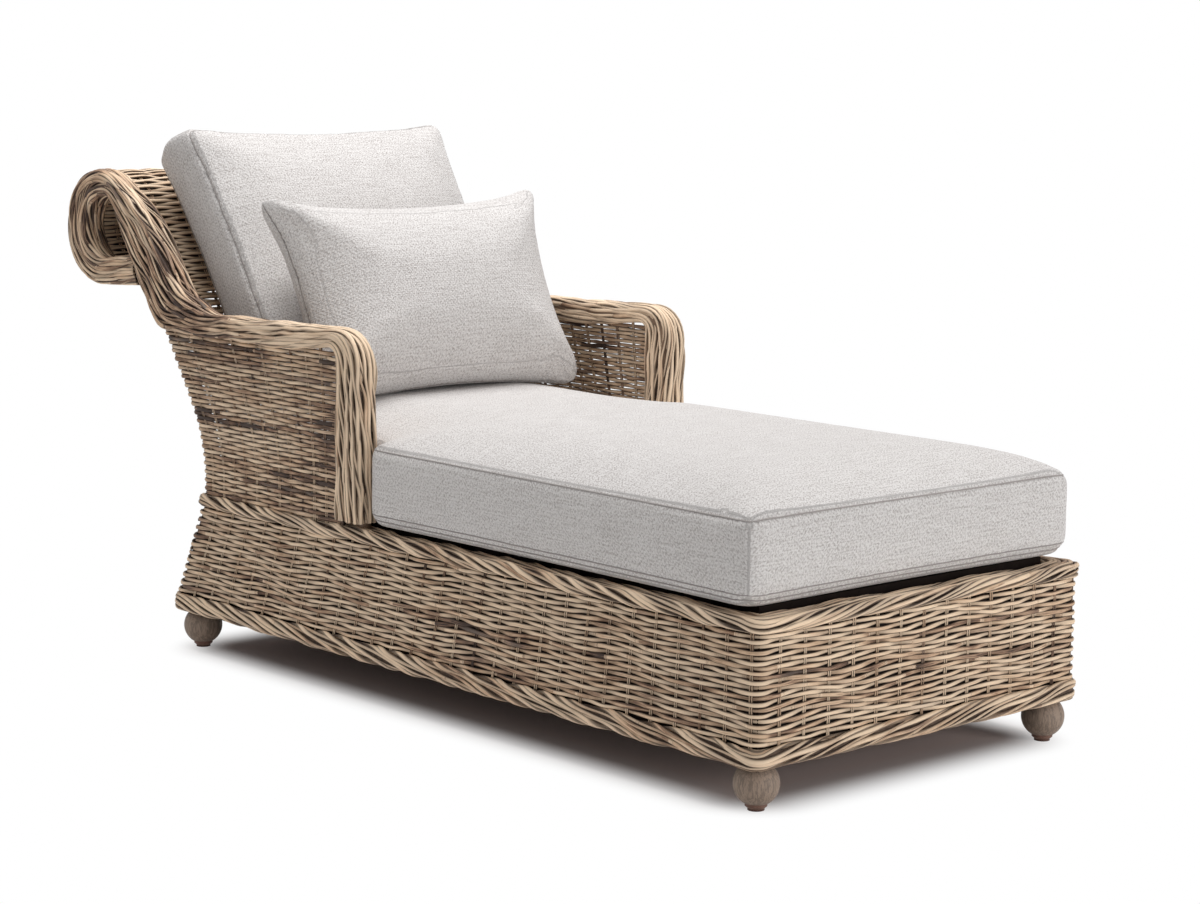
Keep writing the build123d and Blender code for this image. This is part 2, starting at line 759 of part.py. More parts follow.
sheet_front = sheet_line(skin_outer, sheet_y - weave_wall / 2)
sheet_rear = sheet_line(skin_inner, sheet_y + weave_wall / 2)
with BuildPart() as back_weave:
    with BuildSketch(Plane.YZ.offset(-braid_inner)):
        with BuildLine():
            FilletPolyline(*sheet_front, radius=[back_bend_radius])
            FilletPolyline(*sheet_rear, radius=[back_bend_radius - weave_wall])
            Line(sheet_front[0], sheet_rear[0])
            Line(sheet_front[-1], sheet_rear[-1])
        make_face()
    extrude(amount=2 * braid_inner)
save(back_weave, "back_weave")

skin_low = scroll_height - skin_outer
skin_high = scroll_height - skin_inner
with BuildPart() as scroll_weave:
    with BuildSketch(Plane.YZ.offset(-braid_inner)):
        with BuildLine():
            CenterArc((scroll_y, scroll_height), skin_outer, ring_start, -90.0 - ring_start)
            CenterArc((scroll_y, scroll_height), skin_inner, ring_start, -90.0 - ring_start)
            Line(sheet_front[-1], sheet_rear[-1])
            Polyline(
                (scroll_y, skin_low),
                (lean_depth(skin_low, skin_inner), skin_low),
                (lean_depth(skin_high, skin_inner), skin_high),
                (scroll_y, skin_high),
            )
        make_face()
    extrude(amount=2 * braid_inner)
save(scroll_weave, "scroll_weave")

with BuildPart() as scroll_lining:
    extrude(hole_outline(-braid_inner, lining_inset + weave_wall), amount=2 * braid_inner)
    extrude(hole_outline(-braid_inner, lining_inset), amount=2 * braid_inner, mode=Mode.SUBTRACT)
save(scroll_lining, "scroll_lining")

rod_places = [around_scroll(angle, rod_reach) for angle in scroll_rod_angles]
back_rod_heights = [deck_height + (scroll_height - deck_height) * share for share in back_rod_shares]
rod_places += [(lean_depth(z, rod_reach), z) for z in back_rod_heights]
with BuildPart() as back_rods:
    with BuildSketch(Plane.YZ.offset(-braid_inner)):
        with Locations(*rod_places):
            Circle(rod_radius)
    extrude(amount=2 * braid_inner)
save(back_rods, "back_rods")


# Cushions: plan outlines with rounded corners and sides drawn in between them, stacked through the thickness
def cushion_outline(plane, corners, radii, tucks):
    """Closed outline through square corners: each corner is an arc, each side an arc drawn in by its tuck."""
    count = len(corners)
    units = []
    for i in range(count):
        dx = corners[(i + 1) % count][0] - corners[i][0]
        dy = corners[(i + 1) % count][1] - corners[i][1]
        length = math.hypot(dx, dy)
        units.append((dx / length, dy / length))
    ends = []
    with BuildSketch(plane, mode=Mode.PRIVATE) as outline:
        with BuildLine():
            for i in range(count):
                x, y = corners[i]
                in_x, in_y = units[i - 1]
                out_x, out_y = units[i]
                r = radii[i]
                start = (x - r * in_x, y - r * in_y)
                end = (x + r * out_x, y + r * out_y)
                cut = r * (1 - math.sqrt(0.5))
                ThreePointArc(start, (x + cut * (out_x - in_x), y + cut * (out_y - in_y)), end)
                ends.append((start, end))
            for i in range(count):
                begin = ends[i][1]
                finish = ends[(i + 1) % count][0]
                inward = (-units[i][1] * tucks[i], units[i][0] * tucks[i])
                middle = ((begin[0] + finish[0]) / 2 + inward[0], (begin[1] + finish[1]) / 2 + inward[1])
                if tucks[i] > 0:
                    ThreePointArc(begin, middle, finish)
                else:
                    Line(begin, finish)
        make_face()
    return outline.sketch


def stack(plane, levels, outline, shrink):
    """Solid through an outline at each level of (height, inset), drawn in on every side by a shrink."""
    low = levels[0][0]
    high = levels[-1][0]
    middle = (low + high) / 2
    keep = (high - low - 2 * shrink) / (high - low)
    sections = [
        outline(plane.offset(middle + (height - middle) * keep), inset + shrink) for height, inset in levels
    ]
    with BuildPart(mode=Mode.PRIVATE) as body:
        loft(sections, ruled=True)
    return body.part


def cushion_pair(plane, levels, outline, label):
    """Cover with its hollow, and the pad that fills it."""
    with BuildPart() as cover:
        add(stack(plane, levels, outline, 0))
        add(stack(plane, levels, outline, cover_wall), mode=Mode.SUBTRACT)
    save(cover, label)
    with BuildPart() as core:
        add(stack(plane, levels, outline, cover_wall + fit_gap))
    save(core, f"{label}_core")


# Seat cushion: wide before the arms and narrow between them
seat_low = slat_high + fit_gap
seat_front_y = front + seat_front_setback
seat_half = border_half - seat_side_setback
seat_neck_half = braid_inner - seat_arm_gap
seat_ear_y = arm_front - seat_arm_gap
seat_rear_y = sheet_y - weave_wall / 2 - seat_back_gap


def seat_outline(plane, inset):
    """T outline of the seat cushion, drawn in by an inset."""
    wide = seat_half - inset
    neck = seat_neck_half - inset
    return cushion_outline(
        plane,
        [
            (-wide, seat_front_y + inset),
            (wide, seat_front_y + inset),
            (wide, seat_ear_y - inset),
            (neck, seat_ear_y - inset),
            (neck, seat_rear_y - inset),
            (-neck, seat_rear_y - inset),
            (-neck, seat_ear_y - inset),
            (-wide, seat_ear_y - inset),
        ],
        [seat_corner_radius, seat_corner_radius, seat_ear_radius, seat_notch_radius,
         seat_corner_radius, seat_corner_radius, seat_notch_radius, seat_ear_radius],
        [seat_tuck, seat_tuck, 0, seat_tuck, seat_tuck, seat_tuck, 0, seat_tuck],
    )


seat_levels = [(seat_underside_round * up, seat_underside_round * inset) for up, inset in underside_shares]
seat_levels += [
    (seat_edge_height + seat_crown * up, seat_crown_inset * inset) for up, inset in crown_shares
]
cushion_pair(Plane.XY.offset(seat_low), seat_levels, seat_outline, "seat_cushion")


# Back cushion: a boxed cushion that leans on the woven back
def leaning_plane(y, z, lean):
    """Plane of a leaning cushion: local x across, local y up along the lean, local z out to the front."""
    turn = math.radians(lean)
    return Plane(origin=(0, y, z), x_dir=(1, 0, 0), z_dir=(0, -math.sin(turn), math.cos(turn)))


back_cushion_reach = skin_outer + back_cushion_rear_gap + back_cushion_rear_crown
back_cushion_base = seat_low + seat_edge_height + back_cushion_rise
back_middle_z = back_cushion_base + back_cushion_height / 2 * lean_sin
back_middle_y = lean_depth(back_middle_z, back_cushion_reach)


def rectangle_outline(width, height, radius, tuck):
    """Outline of a rectangular cushion as a function of its inset."""

    def outline(plane, inset):
        """Rectangle drawn in by an inset."""
        x = width / 2 - inset
        y = height / 2 - inset
        return cushion_outline(plane, [(-x, -y), (x, -y), (x, y), (-x, y)], [radius] * 4, [tuck] * 4)

    return outline


back_levels = [
    (-back_cushion_rear_crown * up, back_cushion_crown_inset * inset) for up, inset in reversed(crown_shares)
]
back_levels += [
    (back_cushion_edge + back_cushion_front_crown * up, back_cushion_crown_inset * inset)
    for up, inset in crown_shares
]
cushion_pair(
    leaning_plane(back_middle_y, back_middle_z, back_lean),
    back_levels,
    rectangle_outline(back_cushion_width, back_cushion_height, back_cushion_corner, back_cushion_tuck),
    "back_cushion",
)

# Lumbar pillow: two faces joined by one seam round the edge
pillow_rise = pillow_height / 2 * math.sin(math.radians(pillow_lean))
pillow_middle_z = seat_low + seat_edge_height + seat_crown + pillow_rise - pillow_settle
pillow_reach = (
    back_cushion_reach + back_cushion_edge + back_cushion_front_crown + pillow_thickness / 2 - pillow_nest
)
pillow_middle_y = lean_depth(pillow_middle_z, pillow_reach)
pillow_levels = [
    (-pillow_thickness / 2 * up, pillow_crown_inset * inset) for up, inset in reversed(bulge_shares)
]
pillow_levels += [
    (pillow_thickness / 2 * up, pillow_crown_inset * inset) for up, inset in bulge_shares[1:]
]
cushion_pair(
    leaning_plane(pillow_middle_y, pillow_middle_z, pillow_lean),
    pillow_levels,
    rectangle_outline(pillow_width, pillow_height, pillow_corner, pillow_tuck),
    "lumbar_pillow",
)
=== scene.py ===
import json
from math import acos, atan2, ceil, cos, floor, pi, radians, sin, sqrt, tan, tau

import bpy
import numpy as np
from bpy.props import FloatProperty, FloatVectorProperty, PointerProperty
from bpy.types import Operator, Panel, PropertyGroup
from mathutils import Matrix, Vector
from mathutils.bvhtree import BVHTree


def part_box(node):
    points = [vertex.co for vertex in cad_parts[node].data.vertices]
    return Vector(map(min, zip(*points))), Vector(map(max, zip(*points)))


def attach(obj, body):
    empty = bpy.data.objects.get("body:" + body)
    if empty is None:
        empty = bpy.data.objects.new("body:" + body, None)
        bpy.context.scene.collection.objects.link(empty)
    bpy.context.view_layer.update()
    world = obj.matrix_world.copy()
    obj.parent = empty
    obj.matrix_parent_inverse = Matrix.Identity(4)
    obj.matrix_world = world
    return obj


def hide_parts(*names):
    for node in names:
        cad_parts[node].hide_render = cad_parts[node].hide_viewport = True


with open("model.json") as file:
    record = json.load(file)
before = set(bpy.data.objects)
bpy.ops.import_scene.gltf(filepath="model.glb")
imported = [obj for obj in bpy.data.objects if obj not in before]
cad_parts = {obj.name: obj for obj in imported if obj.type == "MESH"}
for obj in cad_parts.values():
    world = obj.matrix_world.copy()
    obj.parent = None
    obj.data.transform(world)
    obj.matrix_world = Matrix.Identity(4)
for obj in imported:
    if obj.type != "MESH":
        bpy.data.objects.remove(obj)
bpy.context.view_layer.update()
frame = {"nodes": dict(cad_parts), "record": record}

bl_info = {
    "name": "Rattan sun lounger",
    "version": (1, 0, 0),
    "blender": (4, 5, 0),
    "location": "3D View > Sidebar > Lounger",
    "description": "Woven rattan, plaited borders and cushions of a sun lounger, made from its frame",
    "category": "Add Mesh",
}

SIDES = {"left": -1.0, "right": 1.0}
SIDE_NAMES = ("left", "front", "right", "rear")


def reach(node):
    """Lowest and highest corner of a frame node, as arrays in metres."""
    return [np.array(corner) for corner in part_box(node)]


def way(angle):
    """Directions of one length, (cos, sin) of angles in degrees."""
    turn = np.radians(angle)
    return np.stack([np.cos(turn), np.sin(turn)], axis=-1)


# Places read from the frame
half_width = -reach("left_bottom_border")[0][0]
front_y = reach("front_bottom_border")[0][1]
rear_low_y = reach("rear_bottom_border")[1][1]
rear_high_y = reach("rear_top_border")[1][1]
border_low, weave_low = (corner[2] for corner in reach("left_bottom_border"))
weave_high, deck = (corner[2] for corner in reach("left_top_border"))
braid_low, braid_high = reach("left_arm_braid")
arm_front, arm_top = braid_low[1], braid_high[2]
braid_outer, braid_inner = -braid_low[0], -braid_high[0]
arm_split = braid_high[1]
sheet_foot = reach("back_weave")[0][1] + 0.005

# Shape of the side, in metres and degrees
scroll_radius = 0.110
scroll = reach("left_back_braid")[1][1:] - scroll_radius
lean = 56.0
back_normal = 90.0 + lean
hole_reach = 0.063
hole_radius = 0.059
hole = scroll - [0.021, 0.0]
band = 0.100
band_reach = hole_reach + band
arm_under = arm_top - 0.050
arm_rear = arm_top - 0.007 - scroll[1]
leg_rear = arm_front + 0.074
arm_corner = 0.060
rise_radius = 0.180
crest_radius = 0.300
crest_angle = 120.0
underside = 0.006
sheet_reach = 0.101
bend_radius = 0.250
post_x = 0.3497
post_inset = 0.014
rear_edge = 0.507
weave_proud = 0.006
wall = 0.010
wall_middle = weave_proud + wall / 2
intervals = 12
steps_between_stakes = 6


def measure(name, description, default):
    """A length that the panel shows."""
    return FloatProperty(name=name, description=description, default=default, unit="LENGTH")


def tint(name, description, default):
    """A colour that the panel shows."""
    return FloatVectorProperty(name=name, description=description, default=default, subtype="COLOR")


class LoungerSizes(PropertyGroup):
    """Sizes of the rattan and of the cushions' seams."""

    strand_width: measure("Strand width", "Height of a woven strand", 0.0080)
    strand_thickness: measure("Strand thickness", "Depth of a woven strand", 0.0056)
    row_pitch: measure("Row pitch", "Distance between two rows", 0.0077)
    stake_pitch: measure("Stake pitch", "Distance between pairs of stakes", 0.053)
    stake_width: measure("Stake width", "Thickness of one stake", 0.0036)
    weave_travel: measure("Weave travel", "How far a strand swings off the middle of the wall",
                          0.0028)
    braid_strand: measure("Braid strand", "Width of a strand of the braids", 0.0076)
    border_strand: measure("Border strand", "Width of a strand of the borders", 0.0084)
    seam_width: measure("Seam width", "Thickness of a sewn edge", 0.0026)


class LoungerColours(PropertyGroup):
    """Colours of the rattan, the cushions and the timber."""

    rattan_pale: tint("Pale rattan", "Lightest strands", (0.96, 0.74, 0.53))
    rattan_tan: tint("Tan rattan", "Most strands", (0.76, 0.53, 0.35))
    rattan_brown: tint("Brown rattan", "Darker strands", (0.35, 0.205, 0.130))
    # Dark rattan is also the colour that the painted shade in creases and recesses darkens towards.
    rattan_dark: tint("Dark rattan", "Darkest stains", (0.050, 0.029, 0.021))
    rattan_grey: tint("Grey rattan", "Weathered strands", (0.60, 0.49, 0.40))
    fabric: tint("Cover", "Light threads", (0.77, 0.745, 0.73))
    fabric_dark: tint("Cover shade", "Dark threads", (0.42, 0.385, 0.37))
    foot_wood: tint("Foot wood", "Wood of the feet", (0.42, 0.31, 0.235))
    # Frame wood is nearly black: painted shade, so that the dark inside is what shows through the
    # weave.
    frame_wood: tint("Frame wood", "Stained timber behind the weave", (0.016, 0.010, 0.008))


# Curves of the side, as (y, z) points
def straight(start, end, count=24):
    """Points on a straight line between two points."""
    return np.linspace(start, end, count)


def bow(centre, radius, first, last, count=40):
    """Points on a circular arc about a centre, between two angles in degrees."""
    return centre + radius * way(np.linspace(first, last, count))


def meet(first, first_reach, second, second_reach):
    """Point where two lines cross. Each has the angle of its normal, and its distance from the
    scroll's axis along that normal."""
    return scroll + np.linalg.solve(way([first, second]), [first_reach, second_reach])


def length_run(points):
    """Length run so far at each point of a line."""
    return np.append(0.0, np.cumsum(np.linalg.norm(np.diff(points, axis=0), axis=1)))


def read_off(points, run, stops):
    """Each coordinate of a line read off at stops along its length run."""
    return np.stack([np.interp(stops, run, column) for column in points.T], axis=-1)


def evenly(points, count):
    """The same line with evenly spaced points."""
    run = length_run(points)
    return read_off(points, run, np.linspace(0.0, run[-1], count))


def running_mean(points, kernel):
    """Each coordinate averaged with its neighbours by the kernel's weights."""
    return np.stack([np.convolve(column, kernel, "valid") for column in points.T], axis=-1)


def ease(x, start, end):
    """0 before start, 1 after end, and 3t² - 2t³ between them."""
    t = np.clip((x - start) / (end - start), 0.0, 1.0)
    return t * t * (3.0 - 2.0 * t)


def unit(vectors):
    """Vectors made one long."""
    return vectors / np.linalg.norm(vectors, axis=-1, keepdims=True)


def lean_depth(z, distance):
    """Depth y, at height z, of the line that leans with the back, a distance before the scroll's
    axis."""
    turn = radians(lean)
    return scroll[0] + ((z - scroll[1]) * cos(turn) - distance) / sin(turn)


def rear_line(z, foot, distance):
    """Depth y, at height z, of a face of the back: upright at the foot, round the bend, then
    leaning."""
    turn = radians(lean)
    corner = scroll[1] + (distance + (foot - scroll[0]) * sin(turn)) / cos(turn)
    tangent = bend_radius * tan(radians(90.0 - lean) / 2)
    start = corner - tangent
    rise = np.clip(z - start, 0, None)
    bend = foot + bend_radius - np.sqrt(np.maximum(bend_radius**2 - rise**2, 0))
    return np.where(z < start, foot, np.where(z < corner + tangent * sin(turn), bend,
                                              lean_depth(z, distance)))


def side_edges(step=0.010):
    """Outer and inner edge of the braid from the arm's foot to the scroll's underside, as matching
    (y, z) points. A line or an arc of one edge is paired with its neighbour on the other."""
    rise = meet(90.0, arm_rear + rise_radius, back_normal, band_reach + rise_radius)
    crest = meet(crest_angle, scroll_radius - crest_radius, back_normal, band_reach - crest_radius)
    corner = np.array([arm_front + arm_corner, arm_top - arm_corner])
    rise_arc = bow(rise, rise_radius, -90.0, back_normal - 180.0)
    crest_arc = bow(crest, crest_radius, back_normal, crest_angle)
    ring = bow(scroll, scroll_radius, crest_angle, -90.0, 120)
    hole_arc = bow(hole, hole_radius, 107.0, -103.0, 120)
    knee = meet(90.0, arm_under - scroll[1], back_normal, hole_reach)
    rise_foot = np.array([rise_arc[0, 0], arm_under])
    chord_foot = rise_arc[-1] - way(back_normal) * band
    tail = chord_foot + (hole_arc[0] - chord_foot) * 0.42
    knee_radius = 0.016
    pairs = [
        (straight((arm_front, deck), (arm_front, corner[1])),
         straight((leg_rear, deck), (leg_rear, arm_under))),
        (bow(corner, arm_corner, 180.0, 90.0),
         bow((leg_rear + knee_radius, arm_under), knee_radius, 180.0, 90.0)),
        (straight((corner[0], arm_top), rise_arc[0]),
         np.concatenate([straight((leg_rear + 0.018, arm_under + 0.016), (0.235, arm_under + 0.001)),
                         straight((0.24, arm_under), rise_foot)])),
        (rise_arc, np.concatenate([straight(rise_foot, knee - [0.012, 0.0]),
                                   straight(knee + [0.006, 0.009], chord_foot)])),
        (np.concatenate([crest_arc, straight(crest_arc[-1], ring[0])[1:]]),
         straight(chord_foot, hole_arc[0])),
        (ring, hole_arc),
        (straight(ring[-1], ring[-1] + [-0.125, underside]), straight(hole_arc[-1], tail)),
    ]
    counts = [max(4, int((length_run(first)[-1] + length_run(second)[-1]) / 2 / step))
              for first, second in pairs]
    outer, inner = (np.concatenate([evenly(pair[i], count)[1:] for pair, count in zip(pairs, counts)])
                    for i in (0, 1))
    run = length_run((outer + inner) / 2)
    stops = np.arange(0.0, run[-1], step)
    edges = []
    for edge in (outer, inner):
        even = read_off(edge, run, stops)
        smooth = running_mean(np.pad(even, ((2, 2), (0, 0)), mode="edge"),
                              np.array([1.0, 2.0, 3.0, 2.0, 1.0]) / 9.0)
        smooth[:2], smooth[-2:] = even[:2], even[-2:]
        edges.append(smooth)
    return edges[0], edges[1], stops


# Strands
def wander(rng, count, run, length):
    """Slow unsteadiness along a line, one for each strand: the sum of four sine waves of about the
    given length and of random phase, halved."""
    waves = rng.uniform(0.6, 1.7, (count, 1, 4)) / length
    phase = rng.uniform(0.0, 1.0, (count, 1, 4))
    return np.sin(tau * (waves * run[..., None] + phase)).sum(-1) / 2.0


def drift(rng, rows, run, length):
    """Slow unsteadiness shared by neighbouring rows: the sum of five plane waves over rows and run,
    halved."""
    waves = rng.uniform(0.5, 1.8, 5) / length
    slant = rng.uniform(-0.09, 0.09, 5)
    phase = rng.uniform(0.0, 1.0, 5)
    row = np.arange(rows)[:, None, None]
    return np.sin(tau * (waves * run[None, :, None] + slant * row + phase)).sum(-1) / 2.0


def rings(centre, outward, width, thickness, sides):
    """Oval rings round lines: centre + width/2 · cos(turn) · across + thickness/2 · sin(turn) ·
    outward, where across is square to the line and to outward."""
    run = unit(np.gradient(centre, axis=-2))
    across = unit(np.cross(run, outward))
    out = np.cross(across, run)
    turn = (np.arange(sides) + 0.5) * tau / sides
    wide, thick = (np.broadcast_to(size, centre.shape[:-1])[..., None, None] / 2
                   for size in (width, thickness))
    return (centre[..., None, :] + wide * np.cos(turn)[:, None] * across[..., None, :]
            + thick * np.sin(turn)[:, None] * out[..., None, :])


def skin_normals(shape):
    """Normal at each point of tubes: the way along the tube crossed with the way round it, turned to
    point away from the middle of the ring."""
    around = np.roll(shape, -1, axis=2) - np.roll(shape, 1, axis=2)
    normals = unit(np.cross(np.gradient(shape, axis=1), around))
    away = shape - shape.mean(axis=2, keepdims=True)
    return normals * np.sign((normals * away).sum())


class Strands:
    """Tubes gathered into one mesh. Each point keeps how far along its strand it lies, a number for
    its strand, how deep the strand lies there, and how near the point is to the strand's edges. Tubes
    that are cut in a bend bring their normals, so that the two meshes shade alike at the cut."""

    LAYERS = ("along", "strand", "deep", "edge")

    def __init__(self):
        self.points, self.faces, self.finish, self.smooth, self.normals = [], [], [], [], []
        self.layers = {name: [] for name in self.LAYERS}
        self.size = 0

    def tubes(self, shape, along, number, deep=0.0, finish=0, normals=None):
        """Adds tubes: shape[strand, station, side] are points. Neighbouring rings are joined by
        four-sided faces, and a flat face closes each end."""
        grid = shape.shape[:3]
        index = self.size + np.arange(np.prod(grid)).reshape(grid)
        after = np.roll(index, -1, axis=2)
        walls = np.stack([index[:, :-1], index[:, 1:], after[:, 1:], after[:, :-1]], axis=-1)
        ends = np.concatenate([index[:, 0], index[:, -1, ::-1]])
        for block, smooth in ((walls.reshape(-1, 4), True), (ends, False)):
            self.faces.append(block)
            self.finish.append(np.full(len(block), finish))
            self.smooth.append(np.full(len(block), smooth))
        self.points.append(shape.reshape(-1, 3))
        self.normals.append((np.zeros_like(shape) if normals is None else normals).reshape(-1, 3))
        edge = np.abs(np.cos((np.arange(grid[2]) + 0.5) * tau / grid[2]))
        for name, values in zip(self.LAYERS, (along, number, deep)):
            values = np.broadcast_to(values, grid[:2])[..., None]
            self.layers[name].append(np.broadcast_to(values, grid).ravel())
        self.layers["edge"].append(np.broadcast_to(edge, grid).ravel())
        self.size += index.size

    def write(self, name, finishes):
        """Puts the tubes into a mesh object."""
        mesh = bpy.data.meshes.new(name)
        corners = np.concatenate([block.ravel() for block in self.faces]).astype(np.int32)
        counts = np.concatenate([np.full(len(block), block.shape[1]) for block in self.faces])
        mesh.vertices.add(self.size)
        mesh.loops.add(len(corners))
        mesh.polygons.add(len(counts))
        for items, label, values in (
                (mesh.vertices, "co", np.concatenate(self.points).astype(np.float32).ravel()),
                (mesh.loops, "vertex_index", corners),
                (mesh.polygons, "loop_start", (np.cumsum(counts) - counts).astype(np.int32)),
                (mesh.polygons, "material_index", np.concatenate(self.finish).astype(np.int32)),
                (mesh.polygons, "use_smooth", np.concatenate(self.smooth))):
            items.foreach_set(label, values)
        mesh.update(calc_edges=True)
        for label, values in self.layers.items():
            add_layer(mesh, label, np.concatenate(values))
        for finish in finishes:
            mesh.materials.append(finish)
        normals = np.concatenate(self.normals)
        if normals.any():
            mesh.normals_split_custom_set_from_vertices(normals.tolist())
        return linked(name, mesh)


def add_layer(mesh, label, values):
    """Keeps a number on each point of a mesh."""
    layer = mesh.attributes.new(label, "FLOAT", "POINT")
    layer.data.foreach_set("value", values.astype(np.float32))


def linked(name, data):
    """A new object in the scene."""
    piece = bpy.data.objects.new(name, data)
    bpy.context.scene.collection.objects.link(piece)
    return piece


def seat_piece(piece, body, nodes):
    """Ties a finished piece to its body and the frame nodes that it stands for."""
    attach(piece, body)
    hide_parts(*nodes)


def weave(parts, rng, surface, outward, stakes, sizes, sag=0.0020, fill=1.0, shade_sheet=None,
          travel=1.0):
    """Plain weave over a grid of points with one line for each row. A strand lies
    travel · cos(pi · (stake + row)) off the wall, so it passes before one pair of stakes and behind
    the next, and neighbouring rows alternate. It is slimmest at the stakes and swells between them.
    Stakes run across the rows in pairs. parts holds each mesh with its first and last station."""
    rows = len(surface)
    run = length_run(surface[rows // 2])
    across = unit(np.gradient(surface, axis=0))
    row = np.arange(rows)[:, None]
    inside = np.clip(3.0 * np.sin(pi * (row + 0.5) / rows), 0.0, 1.0)
    turn = np.cos(pi * (stakes + row))
    lift = travel * sizes.weave_travel * turn * (1 + 0.15 * wander(rng, rows, run, 0.2))
    slip = sag * inside * drift(rng, rows, run, 0.34) + 0.0004 * wander(rng, rows, run, 0.07)
    centre = surface + lift[..., None] * outward + slip[..., None] * across
    width = sizes.strand_width * fill * (1 - 0.07 * np.cos(tau * stakes)) * (
        1 + rng.normal(0, 0.05, (rows, 1)) + 0.07 * wander(rng, rows, run, 0.12))
    shape = rings(centre, outward, width, width * (sizes.strand_thickness / sizes.strand_width), 6)
    splice = np.floor((run + rng.uniform(0, 1.2, (rows, 1))) / rng.uniform(0.13, 0.46, (rows, 1)))
    number = rng.uniform(0, 1, (rows, 1)) + 0.377 * splice
    # How deep each strand lies: 1 where it passes behind the stakes. The rattan finish paints shade
    # there.
    deep = 0.5 - 0.5 * turn
    places = np.arange(ceil(stakes[0] + 0.25), floor(stakes[-1] - 0.25) + 1)
    after = np.searchsorted(stakes, places)
    share = ((places - stakes[after - 1]) / (stakes[after] - stakes[after - 1]))[:, None]
    pick = np.unique(np.append(np.arange(0, rows, 2), rows - 1))
    lines, out, along = (grid[pick].transpose(1, 0, 2) for grid in (
        surface[:, after - 1] * (1 - share) + surface[:, after] * share, outward[:, after],
        unit(surface[:, after] - surface[:, after - 1])))
    ends = ((0, 0), (1, 1), (0, 0))
    out, along = (np.pad(grid, ends, mode="edge") for grid in (out, along))
    lines = np.pad(lines, ends, mode="reflect", reflect_type="odd") - 0.0006 * out
    height = length_run(lines[0])
    pairs = []
    for apart in (-0.53, 0.53):
        shift = apart * sizes.stake_width + 0.0005 * wander(rng, len(places), height, 0.12)
        pairs.append(rings(lines + shift[..., None] * along, out, sizes.stake_width,
                           0.9 * sizes.stake_width, 5))
    tone = rng.uniform(0, 1, (len(places), 1)) + 3.0
    normals = skin_normals(shape)
    for strands, first, last in parts:
        own = slice(first, last + 1)
        strands.tubes(shape[:, own], run[own], number[:, own], deep[:, own], normals=normals[:, own])
        held = (after > first) & (after <= last)
        for pair in pairs:
            # Stakes count as 0.35 deep, which the rattan finish darkens as painted shade.
            strands.tubes(pair[held], height, tone[held], 0.35)
        # A near-black sheet behind the rows, in the core finish: painted shade that stands in for the
        # dark inside behind the wall.
        if shade_sheet is not None:
            low, high = surface[0, own], surface[-1, own]
            near, far = shade_sheet * outward[0, own], (shade_sheet - 0.0008) * outward[0, own]
            sheet = np.stack([low + near, high + near, high + far, low + far], axis=1)
            strands.tubes(sheet[None], run[own], 0.0, 0.0, finish=1)


def loop_place(share, tall, wide, corner):
    """Place on a rounded rectangle by its share of the outline, from the middle of one face: along
    the face, round the corner arc and on. Gives the place and the normal, each as (up, out)."""
    quarter = (tall - corner) + (wide - corner) + pi * corner / 2
    turn = (share % 1.0) * 4.0
    side = np.floor(turn)
    far = (turn - side) * quarter
    far = np.where(side % 2 == 1, quarter - far, far)
    flat = tall - corner
    angle = np.clip((far - flat) / corner, 0.0, pi / 2)
    up = np.minimum(far, flat) + corner * np.sin(angle)
    out = wide - corner + corner * np.cos(angle) - np.clip(far - flat - pi * corner / 2, 0.0, None)
    up_sign = np.where(side < 2, 1.0, -1.0)
    out_sign = np.where((side == 0) | (side == 3), 1.0, -1.0)
    return up * up_sign, out * out_sign, np.sin(angle) * up_sign, np.cos(angle) * out_sign


